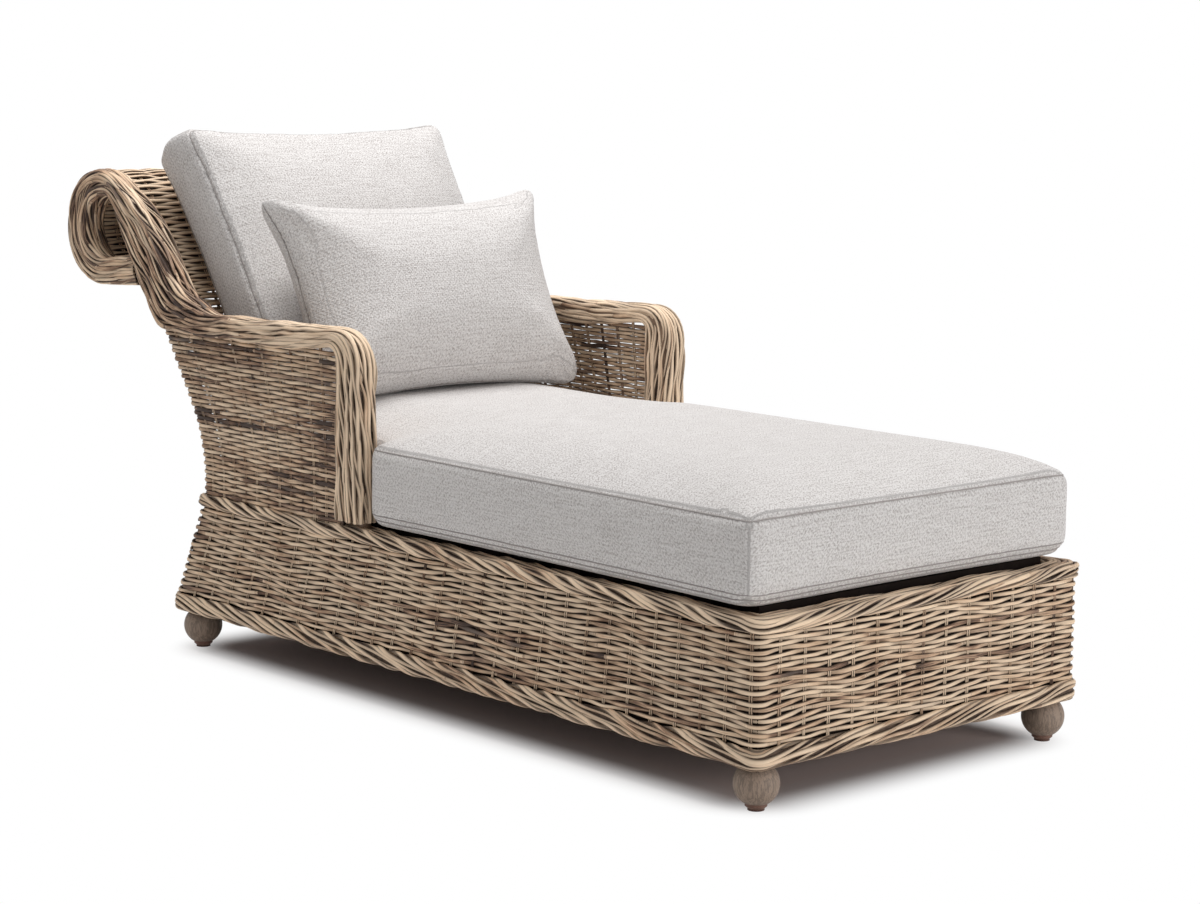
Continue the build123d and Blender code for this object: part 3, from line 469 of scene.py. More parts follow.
def plait(parts, rng, outer, inner, side, half, strand, share, lift=0.0, corner=0.010, cross=1.0,
          length=0.17, leaf=0.10, loose=0.8):
    """Strands laid round a core: outer and inner are the core's edges, side its other direction and
    half its half width that way. share[strand, station] says where round the core a strand lies, and
    lift how far over it. A strand also swings to the side by the sine of its own slow turn and rises
    by the cosine, so it crosses over its neighbours one way and under them the other way. parts holds
    each mesh with its first and last station."""
    middle, up = (outer + inner) / 2, outer - inner
    radius = strand * 0.42
    tall = np.linalg.norm(up, axis=-1) / 2 - radius
    up = unit(up)
    wide = half - radius
    count = len(share)
    run = length_run(middle)
    pace = length * rng.uniform(0.8, 1.25, (count, 1))
    turn = tau * (run / pace + rng.uniform(0, 1, (count, 1))) + loose * wander(rng, count, run, 0.3)
    place = share + cross * 1.05 / count * np.sin(turn)
    up_place, out_place, up_normal, out_normal = loop_place(place, tall, wide, corner)
    normal = unit(up_normal[..., None] * up + out_normal[..., None] * side)
    over = lift + cross * 0.24 * strand * (np.cos(turn) - 0.8)
    centre = middle + up_place[..., None] * up + out_place[..., None] * side + over[..., None] * normal
    width = strand * (1 + rng.normal(0, 0.08, (count, 1)) + 0.07 * wander(rng, count, run, 0.3))
    width = width * (0.92 + leaf * np.cos(turn))
    shape = rings(centre, normal, width, 0.80 * width, 7)
    number = rng.uniform(0, 1, (count, 1)) + 0.377 * np.floor(
        (run + rng.uniform(0, 1.2, (count, 1))) / rng.uniform(0.35, 0.8, (count, 1)))
    # How deep a strand lies, under its neighbours or sunk where it is dropped. The rattan finish
    # darkens deep places as painted shade.
    deep = np.clip(0.5 - 0.5 * np.cos(turn) - 60.0 * lift, 0.0, 1.0)
    inset, least = 0.60 * strand, 0.003
    up_place, out_place, _, _ = loop_place(
        np.linspace(0.0, 1.0, 24, endpoint=False)[:, None], np.maximum(tall - inset, least),
        np.maximum(wide - inset, least), min(corner, 0.0025))
    core = middle + up_place[..., None] * up + out_place[..., None] * side
    core = core.transpose(1, 0, 2)[None]
    if np.sum(np.cross(np.broadcast_to(side, up.shape), up) * np.gradient(middle, axis=0)) > 0:
        core = core[:, :, ::-1]
    normals, core_normals = skin_normals(shape), skin_normals(core)
    for strands, first, last in parts:
        own = slice(first, last + 1)
        strands.tubes(shape[:, own], run[own], number[:, own], deep[:, own], normals=normals[:, own])
        strands.tubes(core[:, own], run[own], 0.0, 0.0, finish=1, normals=core_normals[:, own])


def deepen(points, x):
    """(y, z) points made (x, y, z)."""
    return np.concatenate([np.full((*points.shape[:-1], 1), x), points], axis=-1)


# Base
def base_ring(z, out, corner, spacing):
    """Round the base at each height z: straight sides joined by corner arcs, out from the weave's
    middle. The rear side moves in as the wall rises. The ring starts and ends in the middle of the
    rear left corner. Gives points, normals, and the stations in the middles of the corners."""
    slope = (rear_high_y - rear_low_y) / (weave_high - weave_low)
    share = np.clip((z - weave_low) / (weave_high - weave_low), 0.0, 1.0)
    rear = (rear_low_y + (rear_high_y - rear_low_y) * share - wall_middle + out)[:, None]
    front = front_y + wall_middle - out
    half = half_width - wall_middle + out
    long_count = int((rear_low_y - front_y) / spacing)
    short_count = int(2 * half_width / spacing)
    bend_count = 5
    legs = [
        ((-1.0, 1.0), (-1.0, -1.0), long_count, 180.0),
        ((-1.0, -1.0), (1.0, -1.0), short_count, 270.0),
        ((1.0, -1.0), (1.0, 1.0), long_count, 0.0),
        ((1.0, 1.0), (-1.0, 1.0), short_count, 90.0),
    ]
    xs, ys, angles, cuts = [], [], [], []
    total = 0
    for start, end, count, facing in legs:
        t = np.linspace(0.0, 1.0, count)[None, :]
        y0, y1 = ((rear - corner) if s > 0 else np.full_like(rear, front + corner)
                  for s in (start[1], end[1]))
        x_turn, y_turn = cos(radians(facing)), sin(radians(facing))
        x0, x1 = start[0] * (half - corner), end[0] * (half - corner)
        xs.append(np.broadcast_to(x0 + (x1 - x0) * t + x_turn * corner, (len(z), count)))
        ys.append(y0 + (y1 - y0) * t + y_turn * corner)
        angles.append(np.full(count, facing))
        turn = np.linspace(facing, facing + 90.0, bend_count + 2)[1:-1]
        xs.append(np.broadcast_to(x1 + corner * np.cos(np.radians(turn)), (len(z), bend_count)))
        ys.append(y1 + corner * np.sin(np.radians(turn))[None, :])
        angles.append(turn)
        total += count + bend_count
        cuts.append(total - bend_count // 2 - 1)
    first = cuts[3]
    x, y = (np.roll(np.concatenate(columns, 1), -first, 1) for columns in (xs, ys))
    angle = np.roll(np.radians(np.concatenate(angles)), -first)
    points = np.stack([x, y, np.broadcast_to(z[:, None], x.shape)], axis=-1)
    tilt = -slope * np.clip(np.sin(angle), 0.0, None)
    normals = unit(np.stack([np.cos(angle), np.sin(angle), tilt], axis=-1))
    points = np.concatenate([points, points[:, :1]], axis=1)
    normals = np.concatenate([normals, normals[:1]])
    corners = [0, *(cut - first + total for cut in cuts[:3]), total]
    return points, np.broadcast_to(normals, points.shape), corners


def side_meshes(corners):
    """An empty mesh for each side of the base, with its first and last station."""
    return [(Strands(), corners[i], corners[i + 1]) for i in range(4)]


def row_heights(low, high, sizes):
    """Heights of the middles of rows, about a row pitch apart."""
    rows = round((high - low) / sizes.row_pitch)
    return low + (np.arange(rows) + 0.5) * (high - low) / rows


class LOUNGER_OT_base_weave(Operator):
    """Weave the four walls of the base"""

    bl_idname = "lounger.base_weave"
    bl_label = "Base weave"

    def execute(self, context):
        sizes = context.scene.lounger_sizes
        z = row_heights(weave_low, weave_high, sizes)
        surface, outward, corners = base_ring(z, out=0.0, corner=0.017,
                                              spacing=sizes.stake_pitch / steps_between_stakes)
        run = length_run(surface[len(z) // 2])
        stakes = run / run[-1] * (2 * round(run[-1] / sizes.stake_pitch / 2))
        parts = side_meshes(corners)
        # The dark sheet inside the wall is painted shade for the base's dark inside.
        weave(parts, np.random.default_rng(40), surface, outward, stakes, sizes, sag=0.0028,
              shade_sheet=-0.0049)
        for name, (strands, _, _) in zip(SIDE_NAMES, parts):
            piece = strands.write(f"woven_base_{name}", [finish("rattan"), finish("core")])
            seat_piece(piece, "frame", [f"base_weave_{name}"])
        return {"FINISHED"}


class LOUNGER_OT_borders(Operator):
    """Plait the borders above and below the walls of the base"""

    bl_idname = "lounger.borders"
    bl_label = "Borders"

    def border(self, name, seed, low, high, depth, strand, turns, corner, heave):
        """One border: strands run round a core and turn slowly about it, the other way after each
        corner."""
        rng = np.random.default_rng(seed)
        level = np.array([(low + high) / 2])
        spacing = 0.010
        outer_ring, _, corners = base_ring(level, wall_middle, corner=0.026, spacing=spacing)
        inner_ring, _, _ = base_ring(level, wall_middle - depth, corner=0.002, spacing=spacing)
        outer, inner = outer_ring[0], inner_ring[0]
        run = length_run((outer + inner) / 2)
        round_length = 2 * (depth + high - low) - 4.0 * strand
        count = max(6, int(round(round_length / (0.86 * strand))))
        signs = np.array([1.0, -1.0, 1.0, -1.0])
        swing = np.interp(run, run[corners], np.append(0.0, np.cumsum(signs * np.diff(run[corners]))))
        swing = np.convolve(np.pad(swing, 4, mode="edge"), np.ones(9) / 9, "valid")
        share = (np.arange(count)[:, None] + 0.5) / count + turns * swing
        rise = np.array([0.0, 0.0, heave]) * wander(rng, 1, run, 0.3)[0][:, None]
        parts = side_meshes(corners)
        plait(parts, rng, outer + rise, inner + rise, np.array([0.0, 0.0, 1.0]), (high - low) / 2,
              strand, share, corner=corner, cross=0.42, length=0.20, leaf=0.16, loose=0.4)
        for side_name, (strands, _, _) in zip(SIDE_NAMES, parts):
            piece = strands.write(f"plaited_{side_name}_{name}",
                                  [finish("rattan_border"), finish("packing")])
            seat_piece(piece, "frame", [f"{side_name}_{name}"])

    def execute(self, context):
        strand = context.scene.lounger_sizes.border_strand
        self.border("top_border", seed=7, low=weave_high, high=deck, depth=0.048,
                    strand=0.95 * strand, turns=1.7, corner=0.007, heave=0.0010)
        self.border("bottom_border", seed=8, low=border_low, high=weave_low, depth=0.018,
                    strand=strand, turns=2.5, corner=0.006, heave=0.0012)
        return {"FINISHED"}


class LOUNGER_OT_braids(Operator):
    """Lay the long strands over the arms, up the back and round the scroll"""

    bl_idname = "lounger.braids"
    bl_label = "Braids"

    def execute(self, context):
        strand = context.scene.lounger_sizes.braid_strand
        outer, inner, run = side_edges()
        back_count = 48
        half = (braid_outer - braid_inner) / 2
        halves = half - 0.012 * ease(run, run[-1] - 0.11, run[-1])
        leave = int(np.argmax(outer[:, 0] > arm_split))
        middle_x = (braid_outer + braid_inner) / 2
        order = np.arange(back_count)
        dropped = np.isin(order % 10, (2, 5, 8))
        kept = np.cumsum(~dropped) - 0.5
        narrow = np.where(dropped, kept + 0.5, kept) / (~dropped).sum()
        for name, side in SIDES.items():
            rng = np.random.default_rng(21 if side < 0 else 22)
            start = run[leave] + 0.02 + rng.uniform(0, 0.09, (back_count, 1))
            end = run[leave] + 0.15 + rng.uniform(0, 0.09, (back_count, 1))
            widen = ease(run[None, :], start, end)
            share = narrow[:, None] * (1 - widen) + ((order + 0.5) / back_count)[:, None] * widen
            lift = np.where(dropped[:, None], -0.0065 * (1 - widen), 0.0)
            parts = [(Strands(), 0, leave), (Strands(), leave, len(run) - 1)]
            plait(parts, rng, deepen(outer, side * middle_x), deepen(inner, side * middle_x),
                  np.array([side, 0.0, 0.0]), halves, strand, share - 0.70 * run, lift=lift,
                  corner=0.009, length=0.14, cross=0.8, leaf=0.14)
            for part, (strands, _, _) in zip(("arm", "back"), parts):
                piece = strands.write(f"{name}_{part}_strands",
                                      [finish("rattan_braid"), finish("packing")])
                seat_piece(piece, "frame", [f"{name}_{part}_braid"])
        return {"FINISHED"}


class LOUNGER_OT_arm_weave(Operator):
    """Weave the sides of the arms, with each row turned in round the back post"""

    bl_idname = "lounger.arm_weave"
    bl_label = "Arm weave"

    def execute(self, context):
        sizes = context.scene.lounger_sizes
        z = row_heights(deck, arm_under + 0.007, sizes)
        middle = half_width - wall_middle
        post = rear_line(z, rear_edge - post_inset, hole_reach + post_inset)[:, None]
        front = leg_rear - 0.012
        t = np.linspace(0.0, 1.0, intervals * steps_between_stakes + 1)
        turn = np.linspace(0.0, 150.0, 9)[1:]
        radius = middle - post_x
        normal_x, normal_y = np.concatenate([np.broadcast_to([1.0, 0.0], (len(t), 2)), way(turn)]).T
        y = np.concatenate([front + (post - front) * t, post + radius * way(turn)[:, 1]], axis=1)
        x = np.broadcast_to(np.append(np.full(len(t), middle), post_x + radius * way(turn)[:, 0]),
                            y.shape)
        for name, side in SIDES.items():
            rng = np.random.default_rng(31 if side < 0 else 32)
            surface = np.stack([side * x, y, np.broadcast_to(z[:, None], x.shape)], axis=-1)
            outward = np.stack([side * normal_x, normal_y, np.zeros_like(normal_x)], axis=-1)
            run = length_run(surface[len(z) // 2])
            stakes = run / run[len(t) - 1] * intervals + 0.5
            strands = Strands()
            weave([(strands, 0, len(run) - 1)], rng, surface,
                  np.broadcast_to(outward, surface.shape), stakes, sizes, sag=0.0007, fill=0.99,
                  travel=0.66)
            piece = strands.write(f"{name}_woven_arm", [finish("rattan_arm")])
            seat_piece(piece, "frame", [f"{name}_arm_weave"])
        return {"FINISHED"}


class LOUNGER_OT_back_weave(Operator):
    """Weave the back, the scroll and the scroll's lining in rows across the width"""

    bl_idname = "lounger.back_weave"
    bl_label = "Back weave"

    def panel(self, name, node, profile, seed, sizes, closed=False, shade_sheet=None):
        """Rows across the width over a (y, z) profile, a row pitch apart, with a near-black sheet
        behind
        them where one is given: painted shade standing in for the dark inside."""
        rows = int(length_run(profile)[-1] / sizes.row_pitch)
        line = evenly(profile, rows + 1)[:-1] if closed else evenly(profile, rows)
        run = unit(np.gradient(line, axis=0))
        normal = np.stack([-run[:, 1], run[:, 0]], axis=-1)
        half = braid_inner + 0.004
        x = np.linspace(-half, half, intervals * steps_between_stakes + 1)
        shape = (rows, len(x))
        surface = np.stack([np.broadcast_to(grid, shape) for grid in (x, line[:, :1], line[:, 1:])],
                           axis=-1)
        outward = np.broadcast_to(deepen(normal, 0.0)[:, None, :], surface.shape)
        stakes = (x - x[0]) / (x[-1] - x[0]) * intervals + 0.5
        strands = Strands()
        weave([(strands, 0, len(x) - 1)], np.random.default_rng(seed), surface, outward, stakes,
              sizes, sag=0.0016, fill=1.03)
        if shade_sheet is not None:
            near, far = line + shade_sheet * normal, line + (shade_sheet + 0.0008) * normal
            sheet = np.stack([deepen(near, -half), deepen(near, half), deepen(far, half),
                              deepen(far, -half)], axis=1)
            if closed:
                sheet = np.concatenate([sheet, sheet[:1]])
            strands.tubes(sheet[None], 0.0, 0.0, 0.0, finish=1)
        piece = strands.write(name, [finish("rattan"), finish("core")])
        seat_piece(piece, "frame", [node])

    def execute(self, context):
        sizes = context.scene.lounger_sizes
        entry = scroll + sheet_reach * way(back_normal)
        z = np.linspace(deck + 0.004, entry[1], 200)
        sheet = np.stack([rear_line(z, sheet_foot, sheet_reach), z], axis=-1)
        self.panel("woven_back", "back_weave", sheet, 51, sizes)
        around = bow(scroll, sheet_reach, back_normal, -90.0, 160)
        low = scroll[1] - sheet_reach
        skin_end = np.array([lean_depth(low, sheet_reach) + 0.010, low])
        skin = np.concatenate([around, straight(around[-1], skin_end)[1:]])
        # The dark sheets behind the scroll and its lining are painted shade.
        self.panel("woven_scroll", "scroll_weave", skin, 52, sizes, shade_sheet=-0.0056)
        grow = 0.007
        arc = bow(hole, hole_radius + grow, 102.0, -98.0, 100)
        low = scroll[1] - 0.048
        tail = np.array([lean_depth(low, hole_reach + grow), low])
        lining = np.concatenate([arc, straight(arc[-1], tail)[1:], straight(tail, arc[0])[1:]])
        self.panel("woven_lining", "scroll_lining", lining, 53, sizes, closed=True, shade_sheet=0.0048)
        return {"FINISHED"}


# Cushions
def vectors(items, label="co"):
    """One vector of each of a mesh's items, as an array."""
    values = np.empty(len(items) * 3, np.float32)
    items.foreach_get(label, values)
    return values.reshape(-1, 3).astype(float)


def object_points(piece):
    """Points of a mesh object as an array."""
    return vectors(piece.data.vertices)


def point_normals(piece):
    """Normal at each point of a mesh object."""
    return vectors(piece.data.vertex_normals, "vector")


def put(piece, points):
    """Moves the points of a mesh object."""
    piece.data.vertices.foreach_set("co", points.ravel())
    piece.data.update()


def baked(piece):
    """Gives a piece the mesh that its modifiers make, and takes the modifiers off."""
    graph = bpy.context.evaluated_depsgraph_get()
    made = bpy.data.meshes.new_from_object(piece.evaluated_get(graph))
    piece.modifiers.clear()
    piece.data = made


def cushion_blank(name, node, voxel, slack):
    """Closed, evenly meshed copy of a cushion's pad: merged, remeshed in cubes, smoothed, and moved
    out by the cover's thickness less some slack to swell into."""
    piece = linked(name, frame["nodes"][f"{node}_core"].data.copy())
    piece.data.materials.clear()
    piece.modifiers.new("Merge", "WELD").merge_threshold = 0.0002
    remesh = piece.modifiers.new("Even", "REMESH")
    remesh.mode = "VOXEL"
    remesh.voxel_size = voxel
    relax = piece.modifiers.new("Relax", "SMOOTH")
    relax.factor = 0.5
    relax.iterations = 4
    baked(piece)
    grow = reach(f"{node}_core")[0][0] - reach(node)[0][0] - slack
    put(piece, object_points(piece) + grow * point_normals(piece))
    return piece


def swell(piece, pressure, cap, held):
    """Blows a cover up as cloth held along its seams, and keeps each point within a distance of
    where it was: move · cap · tanh(|move| / cap) / |move|."""
    before = object_points(piece)
    group = piece.vertex_groups.new(name="held")
    for index in np.nonzero(held > 0.05)[0]:
        group.add([int(index)], float(held[index]), "REPLACE")
    cloth = piece.modifiers.new("Cloth", "CLOTH")
    settings = cloth.settings
    settings.quality = 5
    settings.mass = 0.25
    settings.use_pressure = True
    settings.uniform_pressure_force = pressure
    settings.effector_weights.gravity = 0.0
    settings.vertex_group_mass = "held"
    settings.tension_stiffness = 12.0
    settings.bending_stiffness = 0.6
    cloth.collision_settings.use_collision = False
    for count in range(1, 21):
        bpy.context.scene.frame_set(count)
    graph = bpy.context.evaluated_depsgraph_get()
    move = vectors(piece.evaluated_get(graph).data.vertices) - before
    far = np.maximum(np.linalg.norm(move, axis=1, keepdims=True), 1e-9)
    piece.modifiers.clear()
    piece.vertex_groups.clear()
    put(piece, before + move * cap * np.tanh(far / cap) / far)
    bpy.context.scene.frame_set(1)


def nearest(points, line):
    """Distance from each point to a line given as close points, and which of them is nearest."""
    far = np.empty(len(points))
    which = np.empty(len(points), int)
    step = 4096
    for start in range(0, len(points), step):
        block = slice(start, start + step)
        gap = ((points[block, None, :] - line[None, :, :]) ** 2).sum(-1)
        which[block] = gap.argmin(1)
        far[block] = np.sqrt(gap.min(1))
    return far, which


def outline_line(corners, radii, count):
    """Closed line through square corners, each rounded by an arc."""
    corners = np.array(corners)
    before = unit(corners - np.roll(corners, 1, axis=0))
    after = np.roll(before, -1, axis=0)
    parts = []
    for corner, came, goes, radius in zip(corners, before, after, radii):
        centre = corner - radius * came + radius * goes
        t = np.linspace(0.0, pi / 2, 12)[:, None]
        parts.append(centre - radius * goes * np.cos(t) + radius * came * np.sin(t))
    return evenly(np.concatenate(parts + [parts[0][:1]]), count + 1)[:-1]


def settle(line, points, count=8):
    """Moves a closed line onto a surface: the mean of the nearest points of the surface, then
    smoothed by a running mean."""
    gap = ((line[:, None, :] - points[None, :, :]) ** 2).sum(-1)
    order = np.argpartition(gap, count, axis=1)[:, :count]
    weight = 1.0 / (np.take_along_axis(gap, order, axis=1) + 1e-6)
    moved = (points[order] * weight[..., None]).sum(1) / weight.sum(1, keepdims=True)
    wrap = 3
    return running_mean(np.concatenate([moved[-wrap:], moved, moved[:wrap]]),
                        np.ones(2 * wrap + 1) / (2 * wrap + 1))


def add_cloth_places(piece, axes, origin):
    """Keeps across and up on each point, in metres: the two local directions along the face that the
    point lies on, so that threads run with the cover's panels."""
    points = (object_points(piece) - origin) @ axes.T
    facing = np.abs(point_normals(piece) @ axes.T).argmax(1)
    add_layer(piece.data, "across", np.where(facing == 0, points[:, 1], points[:, 0]))
    add_layer(piece.data, "up", np.where(facing == 2, points[:, 1], points[:, 2]))


def finish_cushion(piece, seams, axes, origin, seed, node, pucker=0.0016):
    smooth = piece.modifiers.new("Smooth", "SUBSURF")
    smooth.levels = smooth.render_levels = 1
    baked(piece)
    rng = np.random.default_rng(seed)
    points = object_points(piece)
    shift = np.zeros(len(points))
    for line, depth, reach_out in seams:
        far, which = nearest(points, line)
        waves = np.abs(wander(rng, 1, length_run(line), 0.035)[0])
        shift -= (depth + pucker * waves[which]) * np.exp(-((far / reach_out) ** 2))
    moved = points + shift[:, None] * point_normals(piece)
    put(piece, moved)
    normals = point_normals(piece)
    width = bpy.context.scene.lounger_sizes.seam_width
    tubes = Strands()
    for line, _, _ in seams:
        close = np.nonzero(nearest(moved, line)[0] < 0.02)[0]
        path = settle(line, moved[close])
        outward = unit(normals[close][nearest(path, moved[close])[1]])
        path, outward = (np.concatenate([loop, loop[:1]]) for loop in (path, outward))
        tubes.tubes(rings(path[None], outward[None], width, width, 6), length_run(path), 0.5)
    add_cloth_places(piece, axes, origin)
    piece.data.polygons.foreach_set("use_smooth", np.ones(len(piece.data.polygons), bool))
    piece.data.materials.append(finish("fabric"))
    body = f"{node}_body"
    seat_piece(piece, body, [node, f"{node}_core"])
    edge = tubes.write(f"{piece.name}_seams", [finish("seam")])
    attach(edge, body)


def drawn_out(points, gap, far, reach_in, direction):
    """Points drawn out towards a corner: each moves far · exp(-(gap / reach_in)²) that way."""
    return points + far * np.exp(-((gap / reach_in) ** 2)) * direction


def squared(points, tip, direction):
    """Points drawn out towards an upright corner that stands at tip in plan."""
    gap = np.linalg.norm(points[:, :2] - tip, axis=1, keepdims=True)
    return drawn_out(points, gap, far=0.011, reach_in=0.028, direction=direction)


class LOUNGER_OT_seat_cushion(Operator):
    """Sew and fill the seat cushion"""

    bl_idname = "lounger.seat_cushion"
    bl_label = "Seat cushion"

    def execute(self, context):
        low, high = reach("seat_cushion")
        neck = braid_inner - 0.003
        ear = arm_front - 0.003
        piece = cushion_blank("seat_cover", "seat_cushion", voxel=0.0105, slack=0.001)
        corners = [(low[0], low[1]), (high[0], low[1]), (high[0], ear), (neck, ear),
                   (neck, high[1]), (-neck, high[1]), (-neck, ear), (low[0], ear)]
        radii = [0.034, 0.034, 0.016, 0.012, 0.034, 0.034, 0.012, 0.016]
        outline = outline_line(corners, radii, 1600)
        bottom_seam, sole = low[2] + 0.012, low[2] + 0.010
        middle = np.array([0.0, (low[1] + high[1]) / 2])
        lines = []
        for height, inset in ((low[2] + 0.137, 0.003), (bottom_seam, 0.004),
                              (bottom_seam + 0.009, 0.001)):
            flat = (outline - middle) * (1 - inset / 0.35) + middle
            lines.append(np.concatenate([flat, np.full((len(outline), 1), height)], axis=1))
        points = object_points(piece)
        far, _ = nearest(points, np.concatenate(lines[:2]))
        held = np.clip(1.2 - far / 0.012, 0.0, 1.0)
        held[points[:, 2] < sole] = 1.0
        swell(piece, pressure=4.0, cap=0.006, held=held)
        for side in SIDES.values():
            tip, out = np.array([side * high[0], low[1]]), np.array([side, -1.0, 0.0]) / sqrt(2.0)
            put(piece, squared(object_points(piece), tip, out))
            lines = [squared(line, tip, out) for line in lines]
        seams = zip(lines, (0.0034, 0.0022, 0.0006), (0.006, 0.006, 0.005))
        finish_cushion(piece, list(seams), axes=np.eye(3), origin=np.zeros(3), seed=61,
                       node="seat_cushion")
        return {"FINISHED"}


def pulled(points, tips, middle, far):
    """Points drawn out towards the corners of a cushion, away from its middle."""
    for tip in tips:
        gap = np.linalg.norm(points - tip, axis=1, keepdims=True)
        points = drawn_out(points, gap, far, reach_in=0.045, direction=unit(tip - middle))
    return points


def off_back(points):
    """Points behind the plane of the woven back's front moved out onto it, square to the plane."""
    normal = np.append(0.0, way(back_normal))
    half_weave = 0.0078
    level = scroll @ normal[1:] + sheet_reach + half_weave
    return points + np.clip(level - points @ normal, 0.0, None)[:, None] * normal


def off_cover(points, cover, gap):
    """Points inside another cushion's cover, or closer to it than a gap, moved out along its normal
    at the nearest place."""
    tree = BVHTree.FromObject(cover, bpy.context.evaluated_depsgraph_get())
    moved = points.copy()
    for index, point in enumerate(points):
        place, normal, _, _ = tree.find_nearest(point.tolist(), 0.03)
        if place is not None:
            short = gap - float(np.dot(point - np.array(place), normal))
            moved[index] += max(short, 0.0) * np.array(normal)
    return moved


def leaning_cushion(name, node, voxel, angle, levels, size, radius, seam_depth, cap, seed,
                    pressure, ears, rest):
    """Cushion that leans: its pad is blown up between its seams, which lie on rounded rectangles at
    given levels along the cushion's own axis. rest moves its points off what it leans on."""
    turn = radians(angle)
    axes = np.array([[1.0, 0.0, 0.0], [0.0, cos(turn), sin(turn)], [0.0, -sin(turn), cos(turn)]])
    piece = cushion_blank(name, node, voxel, slack=0.002)
    points = object_points(piece)
    local = points @ axes.T
    origin = (local.min(0) + local.max(0)) / 2
    across, up = size[0] / 2, size[1] / 2
    outline = outline_line([(-across, -up), (across, -up), (across, up), (-across, up)],
                           [radius] * 4, 600)
    lines = []
    for level in levels:
        flat = np.concatenate([outline + origin[:2], np.full((len(outline), 1), level + origin[2])],
                              axis=1)
        lines.append(settle(flat @ axes, points, 4))
    far, _ = nearest(points, np.concatenate(lines))
    swell(piece, pressure, cap, np.clip(1.2 - far / 0.010, 0.0, 1.0))
    middle = origin @ axes
    tips = [middle + axes[0] * side * across + axes[1] * up for side in SIDES.values()]
    put(piece, rest(pulled(object_points(piece), tips, middle, ears)))
    seams = [(pulled(line, tips, middle, ears), seam_depth, 0.006) for line in lines]
    finish_cushion(piece, seams, axes, middle, seed, node)


class LOUNGER_OT_back_cushion(Operator):
    """Sew and fill the back cushion"""

    bl_idname = "lounger.back_cushion"
    bl_label = "Back cushion"

    def execute(self, context):
        leaning_cushion("back_cover", "back_cushion", voxel=0.0075, angle=lean,
                        levels=(-0.0565, 0.0585), size=(0.596, 0.522), radius=0.016,
                        seam_depth=0.0030, cap=0.010, seed=62, pressure=4.0, ears=0.019,
                        rest=off_back)
        return {"FINISHED"}


class LOUNGER_OT_lumbar_pillow(Operator):
    """Sew and fill the lumbar pillow"""

    bl_idname = "lounger.lumbar_pillow"
    bl_label = "Lumbar pillow"

    def execute(self, context):
        behind = bpy.data.objects["back_cover"]
        leaning_cushion("pillow_cover", "lumbar_pillow", voxel=0.0065, angle=66.0, levels=(0.0,),
                        size=(0.600, 0.386), radius=0.010, seam_depth=0.0014, cap=0.009,
                        seed=63, pressure=3.5, ears=0.021,
                        rest=lambda points: off_cover(points, behind, 0.0015))
        return {"FINISHED"}


# Materials
class Value:
    """A number in a material. Arithmetic on it adds Math nodes."""

    def __init__(self, maker, socket):
        self.maker, self.socket = maker, socket

    def math(self, operation, *operands):
        """One Math node on this and other numbers."""
        return self.maker.value("ShaderNodeMath", {"operation": operation}, dict(enumerate(operands)))

    def __add__(self, other):
        return self.math("ADD", self, other)

    def __sub__(self, other):
        return self.math("SUBTRACT", self, other)

    def __rsub__(self, other):
        return self.math("SUBTRACT", other, self)

    def __mul__(self, other):
        return self.math("MULTIPLY", self, other)

    __radd__ = __add__
    __rmul__ = __mul__

    def wave(self):
        """Sine of the number."""
        return self.math("SINE", self)

    def limited(self):
        """The number kept between 0 and 1."""
        return self.maker.value("ShaderNodeClamp", {}, {0: self})


